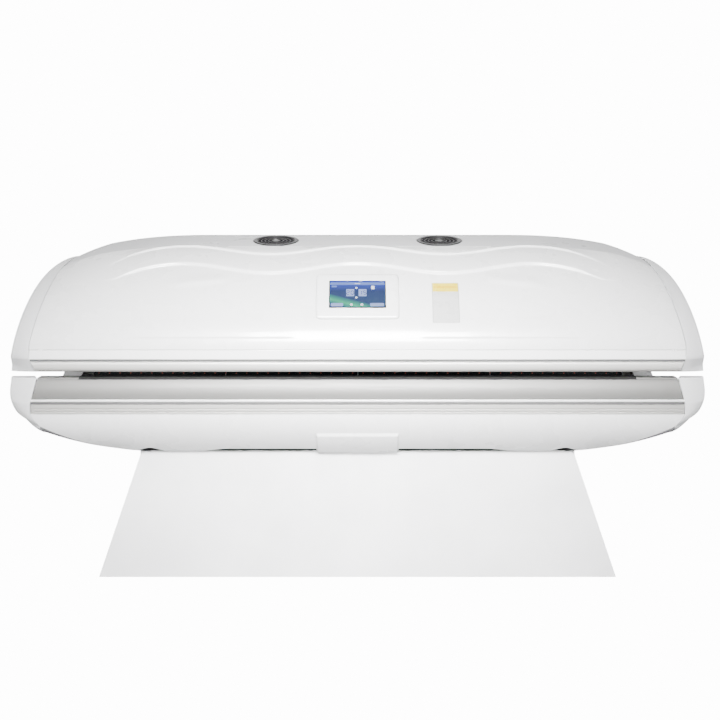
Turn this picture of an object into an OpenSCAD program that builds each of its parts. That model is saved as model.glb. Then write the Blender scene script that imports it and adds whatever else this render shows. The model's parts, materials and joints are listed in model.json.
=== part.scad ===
// Clamshell light therapy bed: a hinged lid over a fixed bench, on a flared pedestal.
// X runs along the bed, the front is -Y and Z is up. The origin is on the floor, under the centre.
// Section points are written [y, z]. Angles on the lid run from the front belt line over the roof.

/* [Overall size] */
// Length over the end caps
bed_length = 2198; // [2100:2300]
// Depth front to back
bed_depth = 1150; // [1140:1170]
// Height with the lid closed
bed_height = 1079; // [1060:1110]
// Height of the closing line, where the hinge axis lies
closing_height = 650; // [640:660]
// Gap between the lid's edge and the bench's edge when closed
closing_gap = 19; // [17:24]
// Length of each moulded end cap
cap_length = 71; // [60:85]

/* [Lid shell] */
// Height of the lid's lower edge rail
lid_rail_height = 45.5; // [42:50]
// How far the rails' edges step in from the full depth
edge_inset = 30; // [26:34]
// Share of the lid's rise that is lost at its ends
end_drop = 0.203; // [0.1:0.01:0.25]
// Distance from the centre at which the roof starts to fall
drop_start = 500; // [480:560]
// Moulded shell thickness
shell_wall = 4; // [3:0.5:5]
// Angle of the seam between the front shell and the roof panel
ridge_angle = 65; // [64.5:0.5:67]
// Depth of the roof panel below the shells
roof_recess = 3; // [2:0.5:4]
// Rounding of the lid's end caps
cap_round = 60; // [45:70]
// Slope at which the lid's seams with its caps lean inwards above the belt
seam_slope = 0.2; // [0.1:0.01:0.25]
// Slope at which the caps' end faces lean inwards above the rail
end_slope = 0.2; // [0.15:0.01:0.3]
// Length that the mitres take off the lid's rails at their lower edge
lid_mitre = 19; // [12:24]
// Height of the white belt above the lid's rail
belt_height = 26; // [20:30]
// Thickness of the white belt
belt_wall = 7; // [5:8]
// Height by which the waved band stands proud
wave_rise = 5; // [2:7]
// Length of one wave of the band
wave_period = 572; // [540:600]

/* [Bench shell] */
// Drop from the closing line to the nose line of the bench rail
nose_drop = 88; // [82:94]
// Drop from the nose line to the joint between the bench rail and the bench shell
skirt_drop = 34; // [30:38]
// Depth of the bench shell's curve below that joint
skirt_depth = 225; // [210:240]
// Height of the bench's underside at the centre
keel_height = 383; // [378:388]
// Height that is left of the bench shell at the ends
end_skirt = 40; // [35:55]
// Rise of the underside's middle at the ends, as a share of its edge's rise
keel_middle_share = 0.4286; // [0.3:0.01:0.5]
// Distance from the pedestal's end to where the underside starts to rise
keel_start_inset = 144; // [110:160]
// Length that the mitres take off the bench's rails at their upper edge
bench_mitre = 17; // [12:22]
// How far the bench shells' ends lean inwards at their lower edge
skirt_lean = 28; // [20:40]
// Half width of the raised centre boss
boss_half = 132; // [110:150]
// Height by which the boss stands proud
boss_rise = 7; // [4:9]
// Wave of the shell's lower edge
scallop = 7.5; // [4:7.5]

/* [Tunnel] */
// Distance from the full depth to the tunnel's edge
tunnel_inset = 85; // [80:95]
// Room between the lid's tunnel and its crown, for panels, ribs and fans
lid_room = 197; // [190:207]
// Room between the bench's tunnel and its underside, for panels and ribs
bench_room = 122.5; // [118:132]
// Thickness of the lid's acrylic sheet
lid_acrylic_wall = 4; // [3:0.5:5]
// Thickness of the bench's acrylic sheet
bench_acrylic_wall = 8; // [6:9]

/* [Light panels] */
// Width of one LED board
board_width = 150; // [140:152]
// Distance from board to board across the tunnel
board_pitch = 159; // [156:160]
// Thickness of an LED board
board_wall = 2; // [1.6:0.2:3]
// Gap between the acrylic and the light bars
light_gap = 22; // [18:24]
// Height of the light bars on the boards
bar_height = 4; // [3:0.5:6]
// Width of one light bar
bar_width = 8; // [6:12]
// Distance from the shells' ends to the lit field
lit_inset = 28; // [24:60]
// Fin height of the heat sinks
fin_height = 20; // [14:21]

/* [Frame plates] */
// Thickness of the ribs
rib_wall = 3; // [2:0.5:5]
// Distance of the inner ribs from the centre
rib_spacing = 500; // [440:560]

/* [Console] */
// Half width of the console pad
console_half = 132; // [115:150]
// Height of the console pad on the shell
console_rise = 8; // [7:10]
// Width of the touchscreen
screen_width = 180; // [160:200]
// Height of the touchscreen
screen_height = 108; // [95:112]
// Start of the notice card, from the centre
card_start = 236; // [220:260]
// Width of the notice card
card_width = 86; // [60:100]

/* [Vents] */
// Distance of the vents from the centre
vent_distance = 276; // [240:340]
// Distance from the roof's front edge to the vents
vent_margin = 1.7; // [1.5:0.1:6]
// Outer radius of a vent ring
vent_radius = 78; // [76:80]
// Inner radius of a vent ring
vent_bore = 60; // [54:62]
// Side of the square fan frame
fan_side = 120; // [116:122]
// Depth of the fan frame
fan_depth = 25; // [25:32]
// Number of fan blades
fan_blades = 7; // [5:9]

/* [Hinge] */
// Distance from the full depth to the hinge axis
hinge_inset = 13; // [11:15]
// Distance of the outer hinges from the centre
hinge_spacing = 760; // [600:900]
// Outer radius of the knuckles
knuckle_radius = 9; // [8.5:0.5:9]
// Radius of the hinge pins
hinge_pin_radius = 5; // [4:0.5:5.5]
// Running clearance of pins and stems
running_clearance = 0.05; // [0.03:0.01:0.08]
// Length of one knuckle
knuckle_length = 30; // [24:40]
// Thickness of the hinge leaves
leaf_wall = 3; // [2.5:0.5:3.5]

/* [Gas springs] */
// Distance of the gas springs from the bed's end
spring_inset = 37; // [35:39]
// Distance of the bench stud from the tunnel's edge
bench_stud_inset = 25; // [23:27]
// Drop from the closing line to the bench stud
bench_stud_drop = 110; // [108:112]
// Distance of the lid stud behind the lid's acrylic sheet
lid_stud_clearance = 15.6; // [14:17]
// Rise from the closing line to the lid stud
lid_stud_rise = 85; // [84:88]
// Outer radius of the spring's cylinder
cylinder_radius = 9; // [8:0.5:9.5]
// Length of rod outside the cylinder with the lid closed
rod_outside = 60.5; // [56:66]
// Radius of the spring's rod
rod_radius = 4; // [3:0.5:5]

/* [Pedestal] */
// Distance from the bed's end to the pedestal's top
pedestal_end_inset = 395; // [386:410]
// Distance from the bed's full depth to the pedestal's top
pedestal_side_inset = 125; // [119:131]
// How far each side leans out from the top to the foot
pedestal_flare = 119; // [100:122]
// Height of the panels' lower edge above the floor
skirt_gap = 5; // [4:6]
// Thickness of the cover panels
panel_wall = 2; // [1.5:0.5:3]
// Thickness of the deck plate between the pedestal and the bench
deck_wall = 8; // [6:10]
// Side of the square frame tubes
tube_side = 40; // [36:44]
// Wall of the frame tubes
tube_wall = 2.5; // [2:0.5:3]
// Distance from the pedestal's top to the frame, along the bed
frame_end_inset = 24; // [14:40]
// Distance from the pedestal's top to the frame, across the bed
frame_side_inset = 30; // [20:45]
// Radius of the levelling foot's pad
foot_radius = 30; // [25:35]
// Radius of the foot's threaded stem
foot_stem = 8; // [6:9]
// Bore of the supply gland
gland_bore = 7; // [5:8]

/* [Hidden] */
half_length = bed_length / 2;
half_depth = bed_depth / 2;
shell_half = half_length - cap_length;
lean_start = 0.83 * shell_half;
lean_reach = shell_half - lean_start;
pedestal_top_half = half_length - pedestal_end_inset;
pedestal_top_depth = half_depth - pedestal_side_inset;
frame_half = pedestal_top_half - frame_end_inset;
frame_depth = pedestal_top_depth - frame_side_inset;
keel_start = pedestal_top_half - keel_start_inset;
joint_gap = 0.3;
rail_length = 2 * shell_half - joint_gap;
lid_edge_z = closing_height + closing_gap / 2;
bench_edge_z = closing_height - closing_gap / 2;
edge_y = half_depth - edge_inset;
nose_height = closing_height - nose_drop;
skirt_height = nose_height - skirt_drop;
keel_edge_rise = skirt_height - keel_height - end_skirt;
keel_middle_rise = keel_middle_share * keel_edge_rise;
hinge_y = half_depth - hinge_inset;
tunnel_half = half_depth - tunnel_inset;
lid_base_z = lid_edge_z + lid_rail_height;
lid_crown = bed_height - lid_base_z + roof_recess;
tunnel_rise = lid_rail_height + lid_crown - lid_room;
tunnel_sag = bench_edge_z - keel_height - bench_room;
vent_angle = acos(cos(ridge_angle) - (vent_radius + vent_margin) / half_depth);
lid_radius = (tunnel_rise * tunnel_rise + tunnel_half * tunnel_half) / (2 * tunnel_rise);
lid_centre_z = lid_edge_z + tunnel_rise - lid_radius;
bench_radius = (tunnel_sag * tunnel_sag + tunnel_half * tunnel_half) / (2 * tunnel_sag);
bench_centre_z = bench_edge_z - tunnel_sag + bench_radius;
lid_sheet_r = lid_radius + shell_wall + joint_gap;
bench_sheet_r = bench_radius + shell_wall + joint_gap;
lid_board_r = lid_sheet_r + lid_acrylic_wall + light_gap + bar_height;
bench_board_r = bench_sheet_r + bench_acrylic_wall + light_gap + bar_height;
// As many boards as the tunnel's arcs hold
board_margin = 25;
function board_count(tunnel_r, board_r) =
    floor((asin(tunnel_half / tunnel_r) / 90 * PI * board_r - 2 * board_margin) / board_pitch);
lid_boards = board_count(lid_radius, lid_board_r);
bench_boards = board_count(bench_radius, bench_board_r);
bars_per_board = 3;
lit_length = 2 * (shell_half - lit_inset);
segments = 4;
segment_gap = 2;
sink_base = 3;
fin_wall = 2;
fins = 8;
sink_width = board_width - 6;
groove_height = 4;
groove_depth = 3;
rail_wall = 2.5;
lip_wall = 4.3;
ledge_height = 8.5;
rail_lip = tunnel_half - 6;
rail_top_y = half_depth - 15;
rail_foot_y = tunnel_half + 7;
rail_face_y = half_depth - 2;
lid_ledge_z = lid_edge_z + ledge_height;
web_z = nose_height - 12;
wave_low_angle = 46;
wave_high_angle = 59.3;
wave_edge = 1.2;
console_low = 18.5;
console_high = 42;
screen_angle = 30.9;
screen_wall = 3;
screen_body = 20;
screen_lap = 12;
card_low = 16.8;
card_high = 37.5;
card_wall = 1;
leaf_start = tunnel_half + 15;
eye_width = 12;
eye_radius = 11.5;
lid_stud_radius = 3.6;
bench_stud_radius = 5;
pivot_slack = 3.8;
panel_rise = keel_height - deck_wall - skirt_gap;
panel_lean = atan2(panel_rise, pedestal_flare);
panel_slope = norm([panel_rise, pedestal_flare]);
spring_x = half_length - spring_inset;
bench_stud_y = tunnel_half - bench_stud_inset;
bench_stud_z = closing_height - bench_stud_drop;
lid_stud_z = closing_height + lid_stud_rise;
lid_stud_r = lid_sheet_r + lid_acrylic_wall + lid_stud_clearance;
lid_stud_y = sqrt(lid_stud_r * lid_stud_r - pow(lid_stud_z - lid_centre_z, 2));
frame_base = 22;
frame_top = keel_height - deck_wall;
bar_y = 140;
switch_x = 400;
switch_box = [22, 30, 27];
rocker_width = 14;
gland_x = 480;
gland_wall = 5;
rear_fitting_v = 62;
post_x = frame_half - tube_side / 2;
post_y = frame_depth - tube_side / 2;

$fn = 48;

// Number helpers
function share(v) = min(max(v, 0), 1);
function blend(a, b, k) = a + (b - a) * k;

// Sections of the lid
function end_share(x) = share((abs(x) - drop_start) / (shell_half - drop_start));
function lid_rise(x) = lid_crown * (1 - end_drop * pow(end_share(x), 2.5));
function lid_normal(x, t) = let (n = [-cos(t) / half_depth, sin(t) / lid_rise(x)]) n / norm(n);
function lid_section(x, t, off = 0) =
    [-half_depth * cos(t), lid_base_z + lid_rise(x) * sin(t)] + off * lid_normal(x, t);
function lid_point(x, t, off = 0) = [x, each lid_section(x, t, off)];
// The lid's ends lean inwards: how far the seam at angle t lies inside the shell's full length
function seam_lean(t) = seam_slope * lid_rise(shell_half) * max(0, sin(t) - sin(180 / lid_cap_steps));
function leaned(x, t) = x - sign(x) * seam_lean(t) * share((abs(x) - lean_start) / lean_reach);
function end_lean(z) = end_slope * max(0, z - lid_base_z);
function bench_leaned(x, f) = x - sign(x) * skirt_lean * f * share((abs(x) - lean_start) / lean_reach);
function lid_tilt(t) = atan2(cos(t) / half_depth, sin(t) / lid_crown);
function belt_angle(x, gap = 2.5 * joint_gap) = asin((belt_height + gap) / lid_rise(x));

// The waved band: two soft lines that meet near the ends
function wave_low(x) = let (a = min(abs(x), 780)) a < 560
    ? wave_low_angle + 3.1 * cos(360 * a / wave_period) : 49.1 - 6.4 * pow((a - 560) / 205, 2);
function wave_high(x) = let (a = min(abs(x), 850)) a < 575
    ? wave_high_angle + 3.6 * cos(360 * a / wave_period) : 62.9 - 13 * pow((a - 575) / 257, 2);
wave_end = shell_half - 188;
function wave_fade(x) = wave_rise * (1 - share((abs(x) - wave_end + 140) / 140));
function front_rows(x) = let (low = wave_low(x), high = wave_high(x)) [
    [belt_angle(x), 0], [9.9, 0], [card_low, 0], [console_low, 0], [24, 0], [30, 0], [card_high, 0],
    [min(console_high, low - 2.5 * wave_edge), 0], [low - wave_edge, 0], [low + wave_edge, wave_fade(x)],
    [(low + high) / 2, wave_fade(x)], [high - wave_edge, wave_fade(x)], [high + wave_edge, 0],
    [ridge_angle, 0]];
rear_steps = 8;
function rear_rows() = [for (k = [0:rear_steps]) blend(0.05, ridge_angle, k / rear_steps)];
roof_steps = 12;
function roof_rows() = [for (k = [0:roof_steps])
    blend(ridge_angle + 0.05, 179.95 - ridge_angle, k / roof_steps)];

// Sections of the bench
function keel_share(x) = share((abs(x) - keel_start) / (shell_half - keel_start));
function keel_edge(x) = keel_height + keel_edge_rise * pow(keel_share(x), 2);
function keel_middle(x) = keel_height + keel_middle_rise * pow(keel_share(x), 2);
function skirt_end(x) = asin((skirt_height - keel_edge(x)) / skirt_depth);
function skirt_section(t, off = 0) =
    let (n = [-cos(t) / half_depth, -sin(t) / skirt_depth])
    [-half_depth * cos(t), skirt_height - skirt_depth * sin(t)] + off * n / norm(n);
function pan_half(x) = half_depth * cos(skirt_end(x));
function pan_section(x, a, off = 0) = [(pan_half(x) - off) * sin(a),
    keel_edge(x) - (keel_edge(x) - keel_middle(x)) * cos(a) + off];
// The floor pan's section lies inside the shells' lower edges
pan_inset = shell_wall + joint_gap + 1;
function pan_inner(x, a, off = 0) =
    let (p = pan_section(x, a, off)) [p[0] * (1 - pan_inset / pan_half(x)), p[1]];
function edge_wave(x) = scallop * (0.5 + 0.5 * cos(360 * (abs(x) - keel_start) / 245))
    * (1 - share((abs(x) - pedestal_top_half + 14) / 30));

// Heights of the tunnel's arcs
function bench_arc(y, r) = bench_centre_z - sqrt(r * r - y * y);

// Even steps from one value to another
function steps(a, b, n) = [for (i = [0:n]) blend(a, b, i / n)];
body_stations = steps(-shell_half, shell_half, 44);
plain_stations = steps(-shell_half, shell_half, 24);
boss_bevel = 6;
boss_stations = concat(steps(-shell_half, -boss_half, 26),
    steps(-boss_half + boss_bevel, boss_half - boss_bevel, 6), steps(boss_half, shell_half, 26));

// Two triangles for each four-cornered face
function split(q) = [[q[0], q[1], q[2]], [q[0], q[2], q[3]]];
function strip(last, f) = [for (i = [0:last]) each split(f(i))];

// Closed thin solid between an outer and an inner grid of points. Along a row and then along a
// column is anticlockwise as seen from outside. With closed ends, the first and the last column
// become flat walls, as in a tray.
module skin(outer, inner, closed_ends = false) {
    rows = len(outer);
    cols = len(outer[0]);
    half = rows * cols;
    l = cols - 1;
    r = rows - 1;
    o = function (i, j) i * cols + j;
    n = function (i, j) half + i * cols + j;
    sides = [for (i = [0:rows - 2]) for (j = [0:cols - 2]) each concat(
        split([o(i, j), o(i, j + 1), o(i + 1, j + 1), o(i + 1, j)]),
        split([n(i, j), n(i + 1, j), n(i + 1, j + 1), n(i, j + 1)]))];
    rims = concat(
        strip(cols - 2, function (j) [o(0, j + 1), o(0, j), n(0, j), n(0, j + 1)]),
        strip(cols - 2, function (j) [o(r, j), o(r, j + 1), n(r, j + 1), n(r, j)]));
    open_ends = concat(
        strip(rows - 2, function (i) [o(i, 0), o(i + 1, 0), n(i + 1, 0), n(i, 0)]),
        strip(rows - 2, function (i) [o(i + 1, l), o(i, l), n(i, l), n(i + 1, l)]));
    tray_ends = concat(
        [for (i = [1:r - 1]) each [[o(0, 0), o(i, 0), o(i + 1, 0)], [n(0, 0), n(i + 1, 0), n(i, 0)],
            [o(0, l), o(i + 1, l), o(i, l)], [n(0, l), n(i, l), n(i + 1, l)]]],
        split([o(0, 0), o(r, 0), n(r, 0), n(0, 0)]),
        split([o(r, l), o(0, l), n(0, l), n(r, l)]));
    polyhedron(concat([for (a = outer) each a], [for (a = inner) each a]),
        concat(sides, rims, closed_ends ? tray_ends : open_ends));
}

// Extrudes a [y, z] outline along the bed, about the centre
module along(length) {
    rotate([90, 0, 90]) translate([0, 0, -length / 2]) linear_extrude(length) children();
}

module both_sides() {
    children();
    mirror([1, 0, 0]) children();
}

// Puts a child on the lid's surface, with its own Z along the outward normal
module on_lid(x, t, off = 0) {
    translate(lid_point(x, t, off)) rotate([lid_tilt(t), 0, 0]) children();
}

// Puts a child on a flat of the tunnel, at distance r from its centre
module on_lid_flat(k, r) {
    pitch = board_pitch / lid_board_r * 180 / PI;
    translate([0, 0, lid_centre_z]) rotate([(k - (lid_boards - 1) / 2) * pitch, 0, 0])
        translate([0, 0, r]) children();
}
module on_bench_flat(k, r) {
    pitch = board_pitch / bench_board_r * 180 / PI;
    translate([0, 0, bench_centre_z]) rotate([(k - (bench_boards - 1) / 2) * pitch, 0, 0])
        translate([0, 0, -r]) mirror([0, 0, 1]) children();
}

// Flats that the light panels' backs make, as an outline round the tunnel's centre
function flats(count, r, board_r) = let (pitch = board_pitch / board_r * 180 / PI)
    [for (k = [0:count]) let (a = (k - count / 2) * pitch) r / cos(pitch / 2) * [sin(a), cos(a)]];

// Lid shells
module lid_skin(stations, rows, off) {
    grid = function (lift) [for (x = stations) [for (r = rows(x))
        [leaned(x, r[0]), each lid_section(x, r[0], r[1] + lift)]]];
    skin(grid(off), grid(off - shell_wall));
}

module lid_front_shell() {
    color("white") difference() {
        lid_skin(body_stations, function (x) front_rows(x), 0);
        on_lid(0, screen_angle)
            cube([screen_width - screen_lap, screen_height - screen_lap, 60], center = true);
    }
}

module lid_rear_shell() {
    color("white") mirror([0, 1, 0])
        lid_skin(plain_stations, function (x) [for (t = rear_rows()) [t, 0]], 0);
}

module lid_roof_panel() {
    color("gainsboro") difference() {
        lid_skin(plain_stations, function (x) [for (t = roof_rows()) [t, 0]], -roof_recess);
        both_sides() on_lid(vent_distance, vent_angle)
            cylinder(r = vent_radius + joint_gap, h = 60, center = true);
    }
}

module lid_front_belt() {
    outline = [for (k = [0:4]) lid_section(0, belt_angle(0, 0) * k / 4)];
    color("white") along(rail_length)
        polygon(concat([[-half_depth + belt_wall, lid_base_z]], outline,
            [[outline[4][0] + belt_wall, outline[4][1]]]));
}

// Rails are hollow extrusions, drawn for the rear and mirrored to the front
module lid_rail_outline() {
    groove_z = lid_base_z - groove_height;
    groove_y = rail_face_y - groove_depth;
    floor_z = lid_edge_z + rail_wall;
    difference() {
        polygon([[rail_lip, lid_edge_z], [edge_y, lid_edge_z], [rail_face_y, groove_z],
            [groove_y, groove_z], [groove_y, lid_base_z], [rail_top_y, lid_base_z],
            [rail_foot_y, lid_ledge_z], [rail_lip, lid_ledge_z]]);
        polygon([[rail_foot_y + 6, floor_z], [edge_y - rail_wall / 2, floor_z],
            [groove_y - 4, groove_z - 2 * rail_wall], [rail_top_y - 3, lid_base_z - 2 * rail_wall]]);
    }
}

cove_bulge = 9;
cove_steps = 10;
cove_foot = [rail_face_y, nose_height + 6];
// Concave arc from the bench rail's top edge down to its nose
function cove(k) = let (a = [edge_y, bench_edge_z], c = cove_foot - a, side = [-c[1], c[0]] / norm(c))
    a + c * k - side * cove_bulge * (1 - pow(2 * k - 1, 2)) * (side[0] > 0 ? 1 : -1);

module bench_rail_outline() {
    wall_y = tunnel_half + 0.5;
    ledge_y = rail_lip - 6;
    ledge_z = bench_arc(ledge_y, bench_sheet_r + bench_acrylic_wall) - joint_gap;
    lip_z = bench_edge_z - lip_wall;
    nose = 4;
    arc = [for (i = [0:cove_steps]) cove(i / cove_steps)];
    inner_arc = [for (i = [0:cove_steps]) arc[i] - (i == 0 ? [rail_wall + 1.7, 3] : [rail_wall + 0.7, 0])];
    difference() {
        polygon(concat(
            [[rail_face_y, nose_height - nose - rail_wall], [half_depth, nose_height - nose],
            [half_depth, nose_height + nose]],
            [for (i = [cove_steps:-1:0]) arc[i]],
            [[rail_lip, bench_edge_z], [rail_lip, lip_z], [wall_y, lip_z], [wall_y, ledge_z],
            [ledge_y, ledge_z], [ledge_y, ledge_z - 3], [wall_y, ledge_z - 3], [wall_y, web_z],
            [rail_face_y - 6, web_z], [rail_face_y - 6, skirt_height + joint_gap],
            [rail_face_y - 1, skirt_height + joint_gap], [rail_face_y, web_z - 1],
            [rail_face_y - 3, web_z], [rail_face_y - 3, web_z + nose]]));
        polygon(concat([[wall_y + rail_wall, web_z + 3], [wall_y + rail_wall, bench_edge_z - 3]],
            inner_arc, [[rail_face_y - 3, nose_height], [rail_face_y - 6, web_z + 3]]));
    }
}

// Cuts both ends of a rail along a slanted line, from the full length at one height to a mitre's
// length less at another, and a little beyond
module mitred(mitre, full_z, short_z) {
    over = 1.05;
    over_z = blend(full_z, short_z, over);
    difference() {
        children();
        both_sides() rotate([90, 0, 0]) linear_extrude(bed_depth + 2, center = true)
            polygon([[shell_half, full_z], [shell_half + 1, full_z],
                [shell_half + 1, over_z], [shell_half - over * mitre, over_z]]);
    }
}
module lid_rear_rail() {
    color("silver") mitred(lid_mitre, lid_base_z, lid_edge_z) along(rail_length) lid_rail_outline();
}
module bench_rear_rail() {
    color("silver") mitred(bench_mitre, nose_height, bench_edge_z)
        along(rail_length) bench_rail_outline();
}
module lid_front_rail() {
    mirror([0, 1, 0]) lid_rear_rail();
}
module bench_front_rail() {
    mirror([0, 1, 0]) bench_rear_rail();
}

// Gap between a cap and the shells and rails that it meets
seam_gap = 0.9;
// End caps: a tray swept along the section, rounded from the shell's outline to a smaller end
// outline, and closed round the tunnel's mouth
round_steps = 5;
cap_start = shell_half + seam_gap;
// Rounding from 0 at the shell to 1 at the end: q = 2 is a circle, q = 1 a straight bevel
function rounding(u, q) = 1 - pow(1 - pow(u, q), 1 / q);
function across(p) = [0, p[1], p[2]];
function cap_ring(o, e, i, q) = concat(
    [for (k = [0:round_steps]) let (u = sin(90 * k / round_steps))
        [blend(o[0], e[0], u), 0, 0] + across(blend(o, e, rounding(u, q)))],
    [i, [cap_start, i[1], i[2]]]);
function inner_ring(o, e, i, q, lift) = let (
        d = shell_wall * across(i - o) / norm(across(i - o)), up = [0, 0, lift], back = [shell_wall, 0, 0])
    cap_ring(o + d + up, e + d + up - back, i - d + up - back, q);
function flip(grid) = [for (c = [0:len(grid[0]) - 1]) [for (r = grid) r[c]]];
// s is a list of sections, each with its point at the seam, at the end and at the tunnel's mouth,
// and its rounding; lift raises the inside of the first and last
module cap(s, lift) {
    last = len(s) - 1;
    skin(flip([for (p = s) cap_ring(p[0], p[1], p[2], p[3])]),
        flip([for (k = [0:last]) let (p = s[k])
            inner_ring(p[0], p[1], p[2], p[3], k == 0 || k == last ? lift : 0)]),
        closed_ends = true);
}

lid_cap_steps = 22;
function lid_cap_outline(k) =
    k == 0 ? [-edge_y, lid_edge_z]
    : k == 1 ? [-(edge_y + half_depth) / 2, (lid_edge_z + lid_base_z) / 2]
    : k > lid_cap_steps + 2 ? let (p = lid_cap_outline(lid_cap_steps + 4 - k)) [-p[0], p[1]]
    : lid_section(shell_half, 180 * (k - 2) / lid_cap_steps);
function lid_cap_start(k) = let (side = min(k, lid_cap_steps + 4 - k))
    cap_start - (side < 2 ? lid_mitre * (1 - side / 2) : seam_lean(180 * (k - 2) / lid_cap_steps));
lid_cap_sections = [for (k = [0:lid_cap_steps + 4])
    let (o = lid_cap_outline(k), spread = asin(tunnel_half / lid_radius),
        a = blend(-spread, spread, k / (lid_cap_steps + 4)),
        i = [lid_radius * sin(a), lid_centre_z + lid_radius * cos(a)], reach = norm(i - o),
        e = blend(o, i, min(cap_round, 0.7 * reach) / reach))
    [[lid_cap_start(k), each o], [half_length - end_lean(e[1]), each e],
        [half_length - end_lean(i[1]), each i], 2 - 0.25 * share((e[1] - lid_base_z) / 200)]];

bench_cap_sides = 5;
bench_cap_steps = 11;
cap_tuck = 38;
bench_end_edge = 550;
bench_end_middle = 470;
bench_end_half = 465;
// Front half of the bench cap's outlines, from the top edge (0) to the middle of its underside
function bench_cap_outline(k) =
    k == 0 ? [-edge_y, bench_edge_z]
    : k == 1 ? [-(edge_y + half_depth) / 2, (bench_edge_z + nose_height) / 2]
    : k == 2 ? [-half_depth, nose_height]
    : k <= bench_cap_sides ? skirt_section(skirt_end(shell_half) * (k - 3) / 2)
    : pan_section(shell_half, -90 * (bench_cap_steps - k) / (bench_cap_steps - bench_cap_sides));
function bench_cap_end(k) = k == 0 ? [-edge_y + 0.9 * cap_tuck, bench_edge_z]
    : k <= bench_cap_sides ? let (f = 90 * (k - 1) / (bench_cap_sides - 1))
        [-bench_end_half - (half_depth - cap_tuck - bench_end_half) * cos(f),
            blend(bench_cap_outline(1)[1], bench_end_edge, sin(f))]
    : let (f = 90 * (bench_cap_steps - k) / (bench_cap_steps - bench_cap_sides))
        [-bench_end_half * sin(f), blend(bench_end_middle, bench_end_edge, pow(sin(f), 2))];
function bench_cap_tunnel(k) = let (
        f = 90 * (bench_cap_steps - k) / (bench_cap_steps - bench_cap_sides),
        y = k <= bench_cap_sides ? tunnel_half - 4 * k : (tunnel_half - 4 * bench_cap_sides) * sin(f))
    [-y, bench_arc(y, bench_radius)];
function mirror_y(p) = [-p[0], p[1]];
function mirror_depth(p) = [p[0], -p[1], p[2]];
function bench_cap_start(k) = k < 3 ? cap_start - bench_mitre * share(1 - k / 2)
    : cap_start + 2 * joint_gap - skirt_lean * share((k - 3) / (bench_cap_sides - 3));
bench_cap_front = [for (k = [0:bench_cap_steps])
    [[bench_cap_start(k), each bench_cap_outline(k)], [half_length, each bench_cap_end(k)],
        [half_length, each bench_cap_tunnel(k)], k < 3 ? 2 : k < 5 ? 1.6 : 1.25]];
bench_cap_sections = concat(
    [for (p = bench_cap_front) [mirror_depth(p[0]), mirror_depth(p[1]), mirror_depth(p[2]), p[3]]],
    [for (k = [bench_cap_steps - 1:-1:0]) bench_cap_front[k]]);

// The gas springs pass through a slot in each cap's tunnel mouth
slot_half = 16;
module spring_slot(low, high) {
    translate([spring_x - slot_half, low[0], low[1]])
        cube([2 * slot_half, high[0] - low[0], high[1] - low[1]]);
}
module lid_right_cap() {
    color("whitesmoke") difference() {
        cap(lid_cap_sections, shell_wall);
        spring_slot([lid_stud_y - 26, lid_edge_z - 5], [tunnel_half + 10, lid_stud_z - 13]);
    }
}
module bench_right_cap() {
    color("whitesmoke") difference() {
        cap(bench_cap_sections, -shell_wall);
        spring_slot([bench_stud_y - 25, bench_edge_z - 60], [tunnel_half + 22, bench_edge_z + 10]);
    }
}
module lid_left_cap() {
    mirror([1, 0, 0]) lid_right_cap();
}
module bench_left_cap() {
    mirror([1, 0, 0]) bench_right_cap();
}

// Bench shells
function flip_rows(grid) = [for (r = grid) [for (j = [len(r) - 1:-1:0]) r[j]]];
skirt_rows = [0, 0.18, 0.36, 0.51, 0.68, 0.84, 1];
function boss_lift(x, row) = row < 0.5 || abs(x) > boss_half - boss_bevel + 0.01 ? 0 : boss_rise;
module bench_skin(stations, boss) {
    grid = function (off) [for (x = stations) [for (f = skirt_rows)
        let (p = skirt_section(f * skirt_end(x), off + (boss ? boss_lift(x, f) : 0)))
        [bench_leaned(x, f), p[0], f == 1 ? keel_edge(x) - edge_wave(x) : p[1]]]];
    skin(flip_rows(grid(0)), flip_rows(grid(-shell_wall)));
}
module bench_front_shell() {
    color("white") bench_skin(boss_stations, true);
}
module bench_rear_shell() {
    color("white") mirror([0, 1, 0]) bench_skin(boss_stations, false);
}

// The floor pan closes the bench between the lower edges of its shells
pan_wall = 3;
module bench_floor_pan() {
    grid = function (off) [for (x = plain_stations) [for (a = steps(-90, 90, 10))
        [-bench_leaned(x, 1), each pan_inner(x, a, off)]]];
    color("lightgray") skin(flip_rows(grid(0)), flip_rows(grid(pan_wall)));
}

// Acrylic sheets, held by the rails' ledges
module lid_acrylic() {
    floor_z = lid_ledge_z + joint_gap;
    color("white", 0.4) intersection() {
        translate([0, 0, lid_centre_z]) rotate([0, 90, 0]) difference() {
            cylinder(r = lid_sheet_r + lid_acrylic_wall, h = rail_length, center = true, $fn = 180);
            cylinder(r = lid_sheet_r, h = rail_length + 2, center = true, $fn = 180);
        }
        translate([-half_length, -half_depth, floor_z]) cube([bed_length, bed_depth, bed_height]);
    }
}
module bench_acrylic() {
    color("white", 0.4) intersection() {
        translate([0, 0, bench_centre_z]) rotate([0, 90, 0]) difference() {
            cylinder(r = bench_sheet_r + bench_acrylic_wall, h = rail_length, center = true, $fn = 180);
            cylinder(r = bench_sheet_r, h = rail_length + 2, center = true, $fn = 180);
        }
        translate([-half_length, -tunnel_half, keel_height])
            cube([bed_length, 2 * tunnel_half, closing_height - keel_height]);
    }
}

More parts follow.
